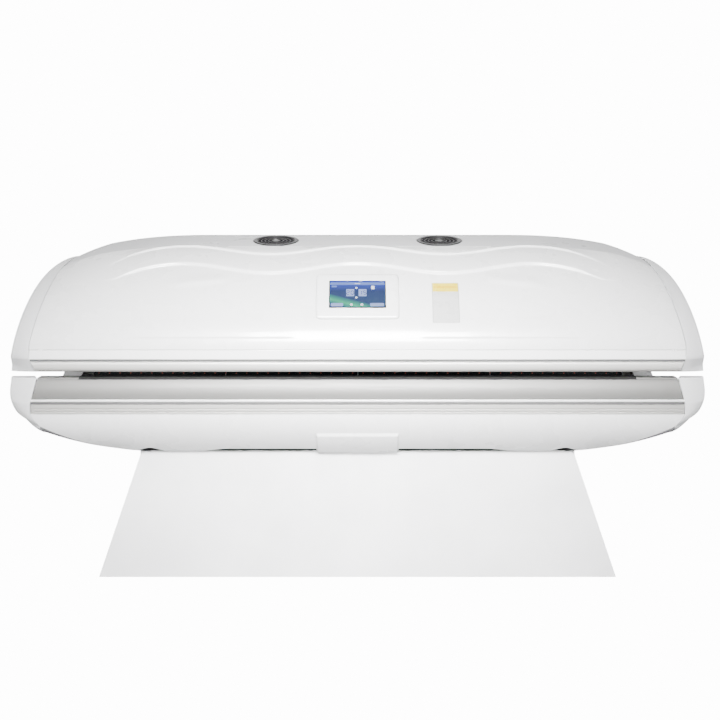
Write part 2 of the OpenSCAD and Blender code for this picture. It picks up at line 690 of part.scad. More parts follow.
// Light panels: boards, light bars and finned heat sinks on the flats round the tunnel
module segment_row(width, height) {
    step = lit_length / segments;
    for (i = [0:segments - 1])
        translate([(i - (segments - 1) / 2) * step, 0, height / 2])
            cube([step - segment_gap, width, height], center = true);
}
module board_bars() {
    for (j = [0:bars_per_board - 1])
        translate([0, (j - (bars_per_board - 1) / 2) * board_width / bars_per_board, -bar_height])
            segment_row(bar_width, bar_height);
}
module heat_sink() {
    along(lit_length) union() {
        translate([-sink_width / 2, 0]) square([sink_width, sink_base]);
        for (k = [0:fins - 1])
            translate([blend(-sink_width / 2, sink_width / 2 - fin_wall, k / (fins - 1)), sink_base - 1])
                square([fin_wall, fin_height + 1]);
    }
}
module lid_led_boards() {
    color("white") for (k = [0:lid_boards - 1])
        on_lid_flat(k, lid_board_r) segment_row(board_width, board_wall);
}
module bench_led_boards() {
    color("white") for (k = [0:bench_boards - 1])
        on_bench_flat(k, bench_board_r) segment_row(board_width, board_wall);
}
module lid_light_bars() {
    color("mistyrose") for (k = [0:lid_boards - 1])
        on_lid_flat(k, lid_board_r) board_bars();
}
module bench_light_bars() {
    color("mistyrose") for (k = [0:bench_boards - 1])
        on_bench_flat(k, bench_board_r) board_bars();
}
module lid_heat_sinks() {
    color("silver") for (k = [0:lid_boards - 1])
        on_lid_flat(k, lid_board_r + board_wall) heat_sink();
}
module bench_heat_sinks() {
    color("silver") for (k = [0:bench_boards - 1])
        on_bench_flat(k, bench_board_r + board_wall) heat_sink();
}

// Ribs: plates between the shells and the backs of the heat sinks
lid_back_r = lid_board_r + board_wall + sink_base + fin_height + joint_gap;
bench_back_r = bench_board_r + board_wall + sink_base + fin_height + joint_gap;
rib_inset = 8.5;
// The end ribs stay clear of the caps, which start inside them and curve inwards
function in_cap(x) = abs(x) > lean_start ? 1 : 0;
cable_hole_angle = 53;
cable_hole_inset = 42;
function both_halves(h) = concat(h, [for (k = [len(h) - 1:-1:0]) mirror_y(h[k])]);
module lid_rib(x) {
    console = abs(x) < screen_width / 2;
    slant = (lid_base_z - lid_ledge_z) / (rail_top_y - rail_foot_y);
    foot = function (y) [-y, lid_ledge_z + (y - rail_foot_y) * slant + joint_gap + 0.2];
    front = concat([foot(rail_foot_y + 8), foot(rail_top_y - 5)],
        [for (t = [3:7.25:90]) lid_section(x, t, -rib_inset - 20 * in_cap(x) * pow(sin(t), 2))]);
    translate([x, 0, 0]) along(rib_wall) difference() {
        polygon(both_halves(front));
        translate([0, lid_centre_z]) {
            polygon(concat([[0, 0]], flats(lid_boards, lid_back_r, lid_board_r)));
            circle(r = lid_sheet_r + lid_acrylic_wall + 2, $fn = 180);
        }
        for (t = [cable_hole_angle, 180 - cable_hole_angle])
            translate(lid_section(x, t, -cable_hole_inset)) circle(r = 20);
        if (console) translate(lid_section(0, screen_angle)) rotate(lid_tilt(screen_angle))
            square([screen_height - screen_lap, 2 * (screen_body + 4)], center = true);
    }
}
module bench_rib(x) {
    top_z = web_z - joint_gap;
    clear = function (a) pan_wall + joint_gap + (9 - 6 * sin(a)) * in_cap(x);
    front = concat([[-tunnel_half + 8, top_z], [-half_depth + 13, top_z]],
        [for (f = [0:0.25:1]) skirt_section(f * (skirt_end(x) - 2), -rib_inset - 0.5 - 11 * f * in_cap(x))],
        [for (a = [-75:15:0]) pan_inner(x, a, clear(a))]);
    translate([x, 0, 0]) along(rib_wall) difference() {
        polygon(both_halves(front));
        translate([0, bench_centre_z]) mirror([0, 1])
            polygon(concat([[0, 0]], flats(bench_boards, bench_back_r, bench_board_r)));
    }
}
end_rib_x = shell_half - 16;
rib_places = [-end_rib_x, -rib_spacing, 0, rib_spacing, end_rib_x];
module lid_ribs() {
    color("darkgray") for (x = rib_places) lid_rib(x);
}
module bench_ribs() {
    color("darkgray") for (x = rib_places) bench_rib(x);
}

// Console pad, touchscreen and notice card on the front shell
module console_bezel() {
    bevel = 5;
    xs = concat([-console_half], steps(-console_half + bevel, console_half - bevel, 6), [console_half]);
    rows = [console_low, console_low + 0.6, 24, 30, card_high, console_high - 0.6, console_high];
    rim = 1.5;
    right = len(xs) - 1;
    upper = len(rows) - 1;
    lift = function (i, j) i == 0 || j == 0 || i == right || j == upper ? rim : console_rise;
    grid = function (top) [for (i = [0:right]) [for (j = [0:upper])
        lid_point(xs[i], rows[j], joint_gap + (top ? lift(i, j) : 0))]];
    color("white") difference() {
        skin(grid(true), grid(false));
        on_lid(0, screen_angle)
            cube([screen_width + 2 * joint_gap, screen_height + 2 * joint_gap, 60], center = true);
    }
}
module touchscreen() {
    color("royalblue") on_lid(0, screen_angle, 2.2) union() {
        translate([-screen_width / 2, -screen_height / 2, 0])
            cube([screen_width, screen_height, screen_wall]);
        translate([-screen_width / 2 + screen_lap, -screen_height / 2 + screen_lap, -screen_body])
            cube([screen_width - 2 * screen_lap, screen_height - 2 * screen_lap, screen_body + 1]);
    }
}
module notice_card() {
    rows = [card_low, console_low, 24, 30, card_high];
    grid = function (off) [for (x = [card_start, card_start + card_width])
        [for (t = rows) lid_point(x, t, off)]];
    color("ivory") skin(grid(joint_gap + card_wall), grid(joint_gap));
}

// Vents: a chrome ring with a guard, over a square fan
ring_top = -1.6;
fan_top = -roof_recess - shell_wall - 2.6;
module right_vent_ring() {
    wires = 4;
    seat = fan_top + joint_gap;
    color("silver") on_lid(vent_distance, vent_angle) union() {
        rotate_extrude($fn = 96) polygon([[vent_bore, seat], [vent_radius, seat],
            [vent_radius, ring_top - 2.5], [vent_radius - 4, ring_top], [vent_bore + 5, ring_top],
            [vent_bore, ring_top - 3.5]]);
        for (k = [1:wires]) rotate_extrude($fn = 96)
            translate([vent_bore * k / (wires + 1), ring_top - 4.5]) square([2.5, 2]);
        for (a = [45:90:315]) rotate([0, 0, a])
            translate([8, -1, ring_top - 6]) cube([vent_bore - 7, 2, 2]);
        translate([0, 0, ring_top - 6]) cylinder(r = 11, h = 3.5);
    }
}
fan_screw = 52.5;
fan_hub = 20;
fan_axle = 3;
module right_fan_frame() {
    bore = vent_bore - 2;
    wall = 3;
    color("dimgray") on_lid(vent_distance, vent_angle) translate([0, 0, fan_top - fan_depth]) difference() {
        union() {
            difference() {
                translate([-fan_side / 2, -fan_side / 2, 0]) cube([fan_side, fan_side, fan_depth]);
                translate([0, 0, -1]) cylinder(r = bore, h = fan_depth + 2, $fn = 96);
            }
            cylinder(r = fan_hub + 1, h = wall);
            for (a = [0:90:270]) rotate([0, 0, a]) translate([18, -3, 0]) cube([bore - 17, 6, wall]);
            cylinder(r = fan_axle, h = fan_depth - 6);
        }
        for (x = [-fan_screw, fan_screw]) for (y = [-fan_screw, fan_screw])
            translate([x, y, -1]) cylinder(r = 2.2, h = fan_depth + 2);
    }
}
// Blade sections from the hub to the tip, with less pitch towards the tip
module fan_blade() {
    root = fan_hub - 2;
    tip = vent_bore - 6;
    camber = 2.2;
    blade_wall = 1.6;
    side = function (lift) [for (r = steps(root, tip, 4)) let (
            f = (r - root) / (tip - root), pitch = blend(48, 24, f), chord = blend(16, 34, f) / 2)
        [for (k = [-1:0.5:1])
            [r, chord * k * cos(pitch), chord * k * sin(pitch) + camber * (1 - k * k) + lift]]];
    skin(side(blade_wall), side(0));
}
module right_fan_rotor() {
    hub_z = fan_top - fan_depth + 4;
    hub_h = fan_depth - 7;
    color("black") on_lid(vent_distance, vent_angle) translate([0, 0, hub_z]) difference() {
        union() {
            cylinder(r = fan_hub, h = hub_h);
            for (k = [0:fan_blades - 1]) rotate([0, 0, 360 * k / fan_blades])
                translate([0, 0, hub_h / 2 - 2]) fan_blade();
        }
        translate([0, 0, -1]) cylinder(r = fan_axle + running_clearance, h = hub_h - 1);
    }
}
module left_vent_ring() {
    mirror([1, 0, 0]) right_vent_ring();
}
module left_fan_frame() {
    mirror([1, 0, 0]) right_fan_frame();
}
module left_fan_rotor() {
    mirror([1, 0, 0]) right_fan_rotor();
}

// Hinges: two bench knuckles on each side of one lid knuckle
hinge_places = [-hinge_spacing, 0, hinge_spacing];
knuckle_gap = 0.5;
leaf_length = 3 * knuckle_length + 2 * knuckle_gap;
module knuckle(x, bore) {
    translate([x, hinge_y, closing_height]) rotate([0, 90, 0]) difference() {
        cylinder(r = knuckle_radius, h = knuckle_length, center = true);
        cylinder(r = bore, h = knuckle_length + 2, center = true);
    }
}
// A tab from the leaf to one knuckle, cut clear of the pin; z is its lower face
module leaf_tab(x, z, bore) {
    difference() {
        translate([x - knuckle_length / 2, leaf_start, z])
            cube([knuckle_length, hinge_y - leaf_start, leaf_wall]);
        translate([x, hinge_y, closing_height]) rotate([0, 90, 0])
            cylinder(r = bore, h = knuckle_length + 2, center = true);
    }
}
// A leaf that lies on its rail, clear of the knuckles of the other half
module leaf(x, z) {
    translate([x - leaf_length / 2, leaf_start, z])
        cube([leaf_length, hinge_y - knuckle_radius - 3 - leaf_start, leaf_wall]);
}
module hinge_bench_leaves() {
    bore = hinge_pin_radius + 0.02;
    reach = knuckle_length + knuckle_gap;
    color("gray") for (x = hinge_places) union() {
        leaf(x, bench_edge_z);
        for (k = [x - reach, x + reach]) {
            knuckle(k, bore);
            leaf_tab(k, bench_edge_z, bore);
        }
    }
}
module hinge_lid_leaves() {
    bore = hinge_pin_radius + running_clearance;
    z = lid_edge_z - leaf_wall;
    color("gray") for (x = hinge_places) union() {
        leaf(x, z);
        knuckle(x, bore);
        leaf_tab(x, z, bore);
    }
}
module hinge_pins() {
    length = leaf_length + 2;
    color("silver") for (x = hinge_places)
        translate([x, hinge_y, closing_height]) rotate([0, 90, 0]) union() {
            cylinder(r = hinge_pin_radius, h = length, center = true);
            for (s = [-1, 1]) translate([0, 0, s * (length / 2 + 1)])
                cylinder(r = hinge_pin_radius + 1.5, h = 2, center = true);
        }
}

// Gas springs between a bench stud and a lid stud. Their own Z runs from stud to stud.
spring_vector = [lid_stud_y - bench_stud_y, lid_stud_z - bench_stud_z];
spring_length = norm(spring_vector);
spring_foot = 9;
cylinder_length = spring_length - spring_foot - rod_outside;
spring_tilt = atan2(-spring_vector[0], spring_vector[1]);
spring_bore = cylinder_radius - 1.4;
piston_start = 20;
piston_height = 8;
module in_spring() {
    translate([spring_x, bench_stud_y, bench_stud_z]) rotate([spring_tilt, 0, 0]) children();
}
module right_spring_cylinder() {
    color("dimgray") in_spring() difference() {
        union() {
            rotate([0, 90, 0]) cylinder(r = 10, h = eye_width, center = true);
            translate([0, 0, spring_foot]) cylinder(r = cylinder_radius, h = cylinder_length);
        }
        rotate([0, 90, 0])
            cylinder(r = bench_stud_radius + running_clearance, h = eye_width + 2, center = true);
        translate([0, 0, spring_foot + 7]) cylinder(r = spring_bore, h = cylinder_length - 11);
        translate([0, 0, spring_foot + 7]) cylinder(r = rod_radius + running_clearance, h = cylinder_length);
    }
}
module right_spring_rod() {
    color("silver") in_spring() difference() {
        union() {
            translate([0, 0, piston_start])
                cylinder(r = spring_bore - running_clearance, h = piston_height);
            translate([0, 0, piston_start])
                cylinder(r = rod_radius, h = spring_length - piston_start - 8);
            translate([0, 0, spring_length]) rotate([0, 90, 0])
                cylinder(r = eye_radius, h = eye_width, center = true);
        }
        translate([0, 0, spring_length]) rotate([0, 90, 0])
            cylinder(r = lid_stud_radius + pivot_slack, h = eye_width + 2, center = true);
    }
}
module left_spring_cylinder() {
    mirror([1, 0, 0]) right_spring_cylinder();
}
module left_spring_rod() {
    mirror([1, 0, 0]) right_spring_rod();
}

// Headed studs on plates that are fixed to the end ribs
lid_outline_y = tunnel_half + 43;
stud_base = end_rib_x + rib_wall / 2;
stud_end = spring_x + eye_width / 2 + 1;
stud_plate = 4;
module stud(y, z, r, head) {
    translate([stud_base, y, z]) rotate([0, 90, 0]) cylinder(r = r, h = stud_end - stud_base);
    translate([stud_end, y, z]) rotate([0, 90, 0]) cylinder(r = head, h = 2);
}
module bench_spring_studs() {
    color("gray") both_sides() union() {
        stud(bench_stud_y, bench_stud_z, bench_stud_radius, 7);
        translate([stud_base, bench_stud_y, bench_stud_z - 8]) rotate([0, 90, 0])
            cylinder(r = 16, h = stud_plate);
    }
}
module lid_spring_studs() {
    y = lid_stud_y;
    z = lid_stud_z;
    outer_y = lid_outline_y;
    color("gray") both_sides() union() {
        stud(y, z, lid_stud_radius, eye_radius - 2);
        translate([stud_base, 0, 0]) rotate([90, 0, 90]) linear_extrude(stud_plate)
            polygon([[y - 8, z - 9], [y + 12, z - 9], [outer_y, z - 3], [outer_y, z + 30],
                [outer_y - 48, z + 30], [y - 8, z + 10]]);
    }
}

// Pedestal
// Puts a child on the front panel: X along it, Y up its slope, Z outwards
module on_front_panel(x, v, reach) {
    translate([x, -reach, skirt_gap]) rotate([panel_lean, 0, 0]) translate([0, v, 0]) children();
}
module on_rear_panel(x, v) {
    mirror([0, 1, 0]) on_front_panel(x, v, pedestal_top_depth + pedestal_flare) children();
}
module panel(foot_half, top_half, reach) {
    on_front_panel(0, 0, reach) translate([0, 0, -panel_wall]) linear_extrude(panel_wall)
        polygon([[-foot_half, 0], [foot_half, 0], [top_half, panel_slope], [-top_half, panel_slope]]);
}
module long_panel() {
    flange = pedestal_top_depth - frame_depth - 1;
    panel(pedestal_top_half + pedestal_flare, pedestal_top_half, pedestal_top_depth + pedestal_flare);
    translate([-pedestal_top_half + 4, -pedestal_top_depth + 0.8, frame_top - panel_wall])
        cube([2 * pedestal_top_half - 8, flange, panel_wall]);
}
module short_panel() {
    inset = panel_wall * 1.6;
    top = pedestal_top_depth - inset;
    panel(top + pedestal_flare, top, pedestal_top_half + pedestal_flare);
}
module pedestal_front_panel() { color("white") long_panel(); }
module pedestal_rear_panel() {
    louvres = 5;
    louvre_x = 200;
    louvre_v = 200;
    louvre_pitch = 18;
    color("white") difference() {
        mirror([0, 1, 0]) long_panel();
        on_rear_panel(gland_x, rear_fitting_v)
            cylinder(r = gland_bore + gland_wall + joint_gap, h = 20, center = true);
        on_rear_panel(switch_x, rear_fitting_v)
            cube([switch_box[0] + 2 * joint_gap, switch_box[1] + 2 * joint_gap, 20], center = true);
        for (k = [0:louvres - 1]) for (x = [-louvre_x, louvre_x])
            on_rear_panel(x, louvre_v + louvre_pitch * k) cube([220, 5, 20], center = true);
    }
}
module pedestal_right_panel() {
    color("white") rotate([0, 0, 90]) short_panel();
}
module pedestal_left_panel() {
    color("white") rotate([0, 0, -90]) short_panel();
}

module tube(length) {
    difference() {
        cube([length, tube_side, tube_side]);
        translate([-1, tube_wall, tube_wall])
            cube([length + 2, tube_side - 2 * tube_wall, tube_side - 2 * tube_wall]);
    }
}
// A post with a solid foot block for the levelling foot's thread, from its lower corner
module post() {
    height = frame_top - frame_base;
    block = tube_side / 2 + 1;
    bore = tube_side - 2 * tube_wall;
    difference() {
        cube([tube_side, tube_side, height]);
        translate([tube_wall, tube_wall, block]) cube([bore, bore, height - block - tube_wall]);
    }
}
module pedestal_frame() {
    inner = frame_half - tube_side;
    side = frame_depth - tube_side;
    half_tube = tube_side / 2;
    color("slategray") difference() {
        union() {
            for (z = [frame_base, frame_top - tube_side]) for (s = [-1, 1]) {
                translate([-inner, s * post_y - half_tube, z]) tube(2 * inner);
                translate([s * post_x + half_tube, -side, z]) rotate([0, 0, 90]) tube(2 * side);
            }
            for (y = [-bar_y, bar_y]) translate([-inner, y - half_tube, frame_base]) tube(2 * inner);
            for (x = [-post_x, post_x]) for (y = [-post_y, post_y])
                translate([x - half_tube, y - half_tube, frame_base]) post();
        }
        for (x = [-post_x, post_x]) for (y = [-post_y, post_y]) translate([x, y, frame_base - 1])
            cylinder(r = foot_stem + running_clearance, h = tube_side);
    }
}
module pedestal_deck() {
    lap = 1;
    deck_depth = half_depth * cos(skirt_end(0)) - shell_wall - 2;
    window = [190, 120];
    window_x = 260;
    color("dimgray") difference() {
        translate([-pedestal_top_half + lap, -deck_depth, frame_top])
            cube([2 * (pedestal_top_half - lap), 2 * deck_depth, deck_wall]);
        for (x = [-window_x, window_x]) translate([x - window[0] / 2, -window[1] / 2, frame_top - 1])
            cube([window[0], window[1], deck_wall + 2]);
    }
}

module foot(x, y) {
    pad = 8;
    color("black") translate([x, y, 0]) union() {
        cylinder(r = foot_radius, h = pad / 2);
        translate([0, 0, pad / 2]) cylinder(r = foot_radius - 6, h = pad / 2);
        translate([0, 0, pad]) cylinder(r = foot_stem, h = frame_base + tube_side / 2 + 4 - pad);
        translate([0, 0, pad + 2]) cylinder(r = 14, h = 8, $fn = 6);
    }
}
module front_left_foot() {
    foot(-post_x, -post_y);
}
module front_right_foot() {
    foot(post_x, -post_y);
}
module rear_left_foot() {
    foot(-post_x, post_y);
}
module rear_right_foot() {
    foot(post_x, post_y);
}

// Electrical parts in the pedestal, on the frame's cross bars
box_width = 420;
box_depth = 320;
box_height = 120;
driver_width = 95;
driver_height = 42;
driver_foot = 40;
driver_first_x = 300;
driver_pitch = 120;
module led_drivers() {
    color("lightslategray") for (s = [-1, 1]) for (k = [0:2])
        translate([s * (driver_first_x + driver_pitch * k), 0, frame_base + tube_side]) union() {
            translate([-driver_width / 2, -box_depth / 2, 0]) cube([driver_width, box_depth, driver_height]);
            translate([-driver_foot / 2, -box_depth / 2 - 8, 0]) cube([driver_foot, box_depth + 16, 4]);
        }
}
module control_box() {
    wall = 1.5;
    lid_lap = 3;
    lid_fold = 14;
    color("gray") translate([-box_width / 2, -box_depth / 2, frame_base + tube_side]) difference() {
        union() {
            cube([box_width, box_depth, box_height]);
            translate([-lid_lap, -lid_lap, box_height - lid_fold])
                cube([box_width + 2 * lid_lap, box_depth + 2 * lid_lap, lid_fold + 2]);
        }
        translate([wall, wall, -1]) cube([box_width - 2 * wall, box_depth - 2 * wall, box_height + 1]);
    }
}

// Supply gland with its nuts and bore, and the mains switch, low on the rear panel
module supply_gland() {
    color("black") on_rear_panel(gland_x, rear_fitting_v) difference() {
        union() {
            translate([0, 0, -16]) cylinder(r = gland_bore + gland_wall, h = 18);
            cylinder(r = gland_bore + 10, h = 7, $fn = 6);
            translate([0, 0, 7]) cylinder(r = gland_bore + 6, h = 12);
            translate([0, 0, -panel_wall - 7]) cylinder(r = gland_bore + 10, h = 6.7, $fn = 6);
        }
        translate([0, 0, -17]) cylinder(r = gland_bore, h = 40);
    }
}
rocker_half_turn = 8;
rocker_axle = 1.5;
module mains_switch_body() {
    color("black") on_rear_panel(switch_x, rear_fitting_v) difference() {
        union() {
            translate([-switch_box[0] / 2 - 2, -switch_box[1] / 2 - 2, 0])
                cube([switch_box[0] + 4, switch_box[1] + 4, 2.5]);
            translate([-switch_box[0] / 2, -switch_box[1] / 2, 1 - switch_box[2]]) cube(switch_box);
        }
        translate([-rocker_width / 2 - 0.5, -12, -9]) cube([rocker_width + 1, 24, 20]);
        rotate([0, 90, 0]) cylinder(r = rocker_axle + running_clearance, h = 19, center = true);
    }
}
module mains_switch_rocker() {
    color("black") on_rear_panel(switch_x, rear_fitting_v) rotate([-rocker_half_turn, 0, 0]) union() {
        rotate([90, 0, 90]) translate([0, 0, -rocker_width / 2]) linear_extrude(rocker_width)
            polygon([[-10.6, 4.5], [0, 2.2], [10.6, 4.5], [10.2, -2], [4, -5], [-4, -5], [-10.2, -2]]);
        rotate([0, 90, 0]) cylinder(r = rocker_axle, h = 18, center = true);
    }
}

pedestal_front_panel();
pedestal_rear_panel();
pedestal_left_panel();
pedestal_right_panel();
pedestal_frame();
pedestal_deck();
led_drivers();
control_box();
supply_gland();
mains_switch_body();
mains_switch_rocker();
front_left_foot();
front_right_foot();
rear_left_foot();
rear_right_foot();
bench_floor_pan();
bench_front_shell();
bench_rear_shell();
bench_left_cap();
bench_right_cap();
bench_front_rail();
bench_rear_rail();
bench_ribs();
bench_led_boards();
bench_light_bars();
bench_heat_sinks();
bench_acrylic();
hinge_bench_leaves();
hinge_pins();
hinge_lid_leaves();
bench_spring_studs();
lid_front_shell();
lid_roof_panel();
lid_rear_shell();
lid_left_cap();
lid_right_cap();
lid_front_belt();
lid_front_rail();
lid_rear_rail();
lid_ribs();
lid_led_boards();
lid_light_bars();
lid_heat_sinks();
lid_acrylic();
console_bezel();
touchscreen();
notice_card();
left_vent_ring();
right_vent_ring();
left_fan_frame();
right_fan_frame();
left_fan_rotor();
right_fan_rotor();
lid_spring_studs();
left_spring_cylinder();
right_spring_cylinder();
left_spring_rod();
right_spring_rod();
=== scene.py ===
import json
import math

import bpy
from mathutils import Matrix, Vector


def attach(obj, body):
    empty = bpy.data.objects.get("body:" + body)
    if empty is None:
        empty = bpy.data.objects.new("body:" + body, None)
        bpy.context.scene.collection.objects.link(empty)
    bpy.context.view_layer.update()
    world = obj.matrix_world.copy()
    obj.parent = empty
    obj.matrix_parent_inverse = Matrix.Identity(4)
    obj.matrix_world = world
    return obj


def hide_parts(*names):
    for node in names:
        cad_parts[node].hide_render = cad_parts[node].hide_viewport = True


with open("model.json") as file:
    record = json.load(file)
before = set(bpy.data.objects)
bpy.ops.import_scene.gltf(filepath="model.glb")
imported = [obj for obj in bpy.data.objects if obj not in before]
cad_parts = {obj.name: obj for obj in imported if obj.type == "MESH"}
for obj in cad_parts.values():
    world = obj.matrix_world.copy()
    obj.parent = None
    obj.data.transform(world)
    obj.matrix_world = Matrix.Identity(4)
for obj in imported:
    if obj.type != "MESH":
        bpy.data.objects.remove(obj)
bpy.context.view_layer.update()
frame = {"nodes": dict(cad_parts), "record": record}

# Sizes in millimetres, as the part's source has them, and angles in degrees
HALF_LENGTH = 1099
HALF_DEPTH = 575
SHELL_HALF = 1028
SEAM_GAP = 0.9
SEAM_SLOPE = 0.2
END_SLOPE = 0.2
LID_MITRE = 19
BENCH_MITRE = 17
SKIRT_LEAN = 28
LEAN_START = 0.83 * SHELL_HALF
LEAN_REACH = SHELL_HALF - LEAN_START
LID_CAP_STEPS = 22
RAIL_HALF = SHELL_HALF - 0.15
LID_EDGE_Z = 659.5
BENCH_EDGE_Z = 640.5
EDGE_Y = 545
LID_BASE_Z = 705
LID_CROWN = 377
END_DROP = 0.203
DROP_START = 500
SHELL_WALL = 4
RIDGE_ANGLE = 65
ROOF_RECESS = 3
BELT_HEIGHT = 26
BELT_WALL = 7
NOSE_HEIGHT = 562
SKIRT_HEIGHT = 528
SKIRT_DEPTH = 225
KEEL_HEIGHT = 383
KEEL_EDGE_RISE = 105
KEEL_MIDDLE_RISE = 45
KEEL_START = 560
BOSS_HALF = 132
BOSS_RISE = 7
PEDESTAL_HALF = 704
PEDESTAL_DEPTH = 447
TUNNEL_HALF = 490
RAIL_LIP = 484
RAIL_FACE_Y = 573
RAIL_TOP_Y = 560
RAIL_FOOT_Y = 497
LEDGE_Z = 668
WEB_Z = 550
LID_TUNNEL_RADIUS = 645.1
LID_TUNNEL_CENTRE = 239.9
BENCH_TUNNEL_RADIUS = 956.8
BENCH_TUNNEL_CENTRE = 1462.3
LID_BOARDS = 7
LID_BOARD_RADIUS = 679.42
LID_BOARD_CENTRE = 239.88
BENCH_BOARDS = 6
BENCH_BOARD_RADIUS = 995.06
BENCH_BOARD_CENTRE = 1462.26
WAVE_PERIOD = 572
JOINT_GAP = 0.3
CONSOLE_HALF = 132
CONSOLE_LOW = 18.5
CONSOLE_HIGH = 42
CONSOLE_RISE = 8
SCREEN_WIDTH = 180
SCREEN_HEIGHT = 108
SCREEN_ANGLE = 30.9
CARD_START = 236
CARD_WIDTH = 86
CARD_LOW = 16.8
CARD_HIGH = 37.5
VENT_X = 276
VENT_ANGLE = 73.5
VENT_RADIUS = 78
MM = 0.001

# Waves, creases and openings that the solids have plainer or not at all
WAVE_RISE = 8
WAVE_EDGE = 0.5
CREASE_RISE = 1.6
CREASE_FOOT = 9.4
CREASE_TOP = 10.4
CRESCENT_RISE = 4.5
SKIRT_FOOT = 394
SIDE_OPENING = 9
SIDE_OPENING_END = 410
SIDE_OPENING_FADE = 100
CORNER_OPENING = 13
CORNER_OPENING_X = 668
CORNER_OPENING_HALF = 55

# Faces of a box whose corners run through X, then Y, then Z
BOX_FACES = [(0, 1, 3, 2), (4, 6, 7, 5), (0, 4, 5, 1), (2, 3, 7, 6), (0, 2, 6, 4), (1, 5, 7, 3)]


def share(v):
    return min(max(v, 0.0), 1.0)


def blend(a, b, k):
    return a + (b - a) * k


def smooth(v):
    v = share(v)
    return v * v * (3 - 2 * v)


def steps(a, b, n):
    return [blend(a, b, i / n) for i in range(n + 1)]


def sin(a):
    return math.sin(math.radians(a))


def cos(a):
    return math.cos(math.radians(a))


# Sections of the lid
def lid_rise(x):
    return LID_CROWN * (1 - END_DROP * share((abs(x) - DROP_START) / (SHELL_HALF - DROP_START)) ** 2.5)


def lid_normal(x, t):
    return Vector((0, -cos(t) / HALF_DEPTH, sin(t) / lid_rise(x))).normalized()


def seam_lean(t):
    """How far the lid's leaning seam lies inside its full length, at an angle on the lid."""
    return SEAM_SLOPE * lid_rise(SHELL_HALF) * max(0, sin(t) - sin(180 / LID_CAP_STEPS))


def end_share(x):
    return share((abs(x) - LEAN_START) / LEAN_REACH)


def leaned(x, lean):
    """X drawn in by a lean at the bed's end, and by less and less towards its middle."""
    return x - math.copysign(lean * end_share(x), x)


def end_lean(z):
    """How far the lid's end lies inside the bed's length at a height."""
    return END_SLOPE * max(0, z - LID_BASE_Z)


def lid_point(x, t, off=0.0):
    """A point of the lid's skin at an angle from the front edge, or off it along its normal."""
    point = Vector((leaned(x, seam_lean(t)), -HALF_DEPTH * cos(t), LID_BASE_Z + lid_rise(x) * sin(t)))
    return point + off * lid_normal(x, t)


def belt_angle(x):
    return math.degrees(math.asin((BELT_HEIGHT + 2.5 * JOINT_GAP) / lid_rise(x)))


def wave_low(x):
    a = min(abs(x), 780)
    return 46 + 3.1 * cos(360 * a / WAVE_PERIOD) if a < 560 else 49.1 - 6.4 * ((a - 560) / 205) ** 2


def wave_high(x):
    a = min(abs(x), 850)
    return 59.3 + 3.6 * cos(360 * a / WAVE_PERIOD) if a < 575 else 62.9 - 13 * ((a - 575) / 257) ** 2


def wave_fade(x):
    return 1 - smooth((abs(x) - 680) / 160)


# Sections of the bench
def keel_share(x):
    return share((abs(x) - KEEL_START) / (SHELL_HALF - KEEL_START))


def keel_edge(x):
    return KEEL_HEIGHT + KEEL_EDGE_RISE * keel_share(x) ** 2


def keel_middle(x):
    return KEEL_HEIGHT + KEEL_MIDDLE_RISE * keel_share(x) ** 2


def skirt_end(x):
    return math.degrees(math.asin((SKIRT_HEIGHT - keel_edge(x)) / SKIRT_DEPTH))


def skirt_point(x, f, off=0.0):
    """A point at a share f of the skirt's height, from its upper edge down."""
    t = f * skirt_end(x)
    n = Vector((0, -cos(t) / HALF_DEPTH, -sin(t) / SKIRT_DEPTH)).normalized()
    y, z = -HALF_DEPTH * cos(t), SKIRT_HEIGHT - SKIRT_DEPTH * sin(t)
    return Vector((leaned(x, SKIRT_LEAN * f), y, z)) + off * n


def pan_half(x):
    return HALF_DEPTH * cos(skirt_end(x))


def pan_point(x, a, off=0.0):
    """A point of the bench's underside, from its front edge (-90) to its rear one (90)."""
    return Vector((leaned(x, SKIRT_LEAN), (pan_half(x) - off) * sin(a),
                   keel_edge(x) - (keel_edge(x) - keel_middle(x)) * cos(a) + off))


def skirt_reach(x):
    """The share of the skirt's arc that is left above the pedestal's lip and its shallow openings."""
    a = abs(x)
    opening = 0
    if a >= BOSS_HALF:
        opening = SIDE_OPENING * (1 - smooth((a - SIDE_OPENING_END) / SIDE_OPENING_FADE))
        opening += CORNER_OPENING * smooth(1 - abs(a - CORNER_OPENING_X) / CORNER_OPENING_HALF)
    edge = max(keel_edge(x), SKIRT_FOOT) + opening
    return math.degrees(math.asin((SKIRT_HEIGHT - edge) / SKIRT_DEPTH)) / skirt_end(x)


# Materials: principled shaders with procedural detail
def shader_of(mat):
    return mat.node_tree.nodes["Principled BSDF"]


def node_material(name, colour, roughness, metallic=0.0, coat=0.0):
    mat = bpy.data.materials.new(name)
    mat.use_nodes = True
    shader = shader_of(mat)
    shader.inputs["Base Color"].default_value = (*colour, 1)
    shader.inputs["Roughness"].default_value = roughness
    shader.inputs["Metallic"].default_value = metallic
    shader.inputs["Coat Weight"].default_value = coat
    shader.inputs["Coat Roughness"].default_value = 0.08
    return mat


def noise(mat, scale, detail=3.0, stretch=(1, 1, 1)):
    """A socket with noise in the piece's own metres, finer where the stretch is larger."""
    nodes, links = mat.node_tree.nodes, mat.node_tree.links
    place = nodes.new("ShaderNodeTexCoord")
    mapping = nodes.new("ShaderNodeMapping")
    mapping.inputs["Scale"].default_value = stretch
    texture = nodes.new("ShaderNodeTexNoise")
    texture.inputs["Scale"].default_value = scale
    texture.inputs["Detail"].default_value = detail
    links.new(place.outputs["Object"], mapping.inputs["Vector"])
    links.new(mapping.outputs["Vector"], texture.inputs["Vector"])
    return texture.outputs["Fac"]


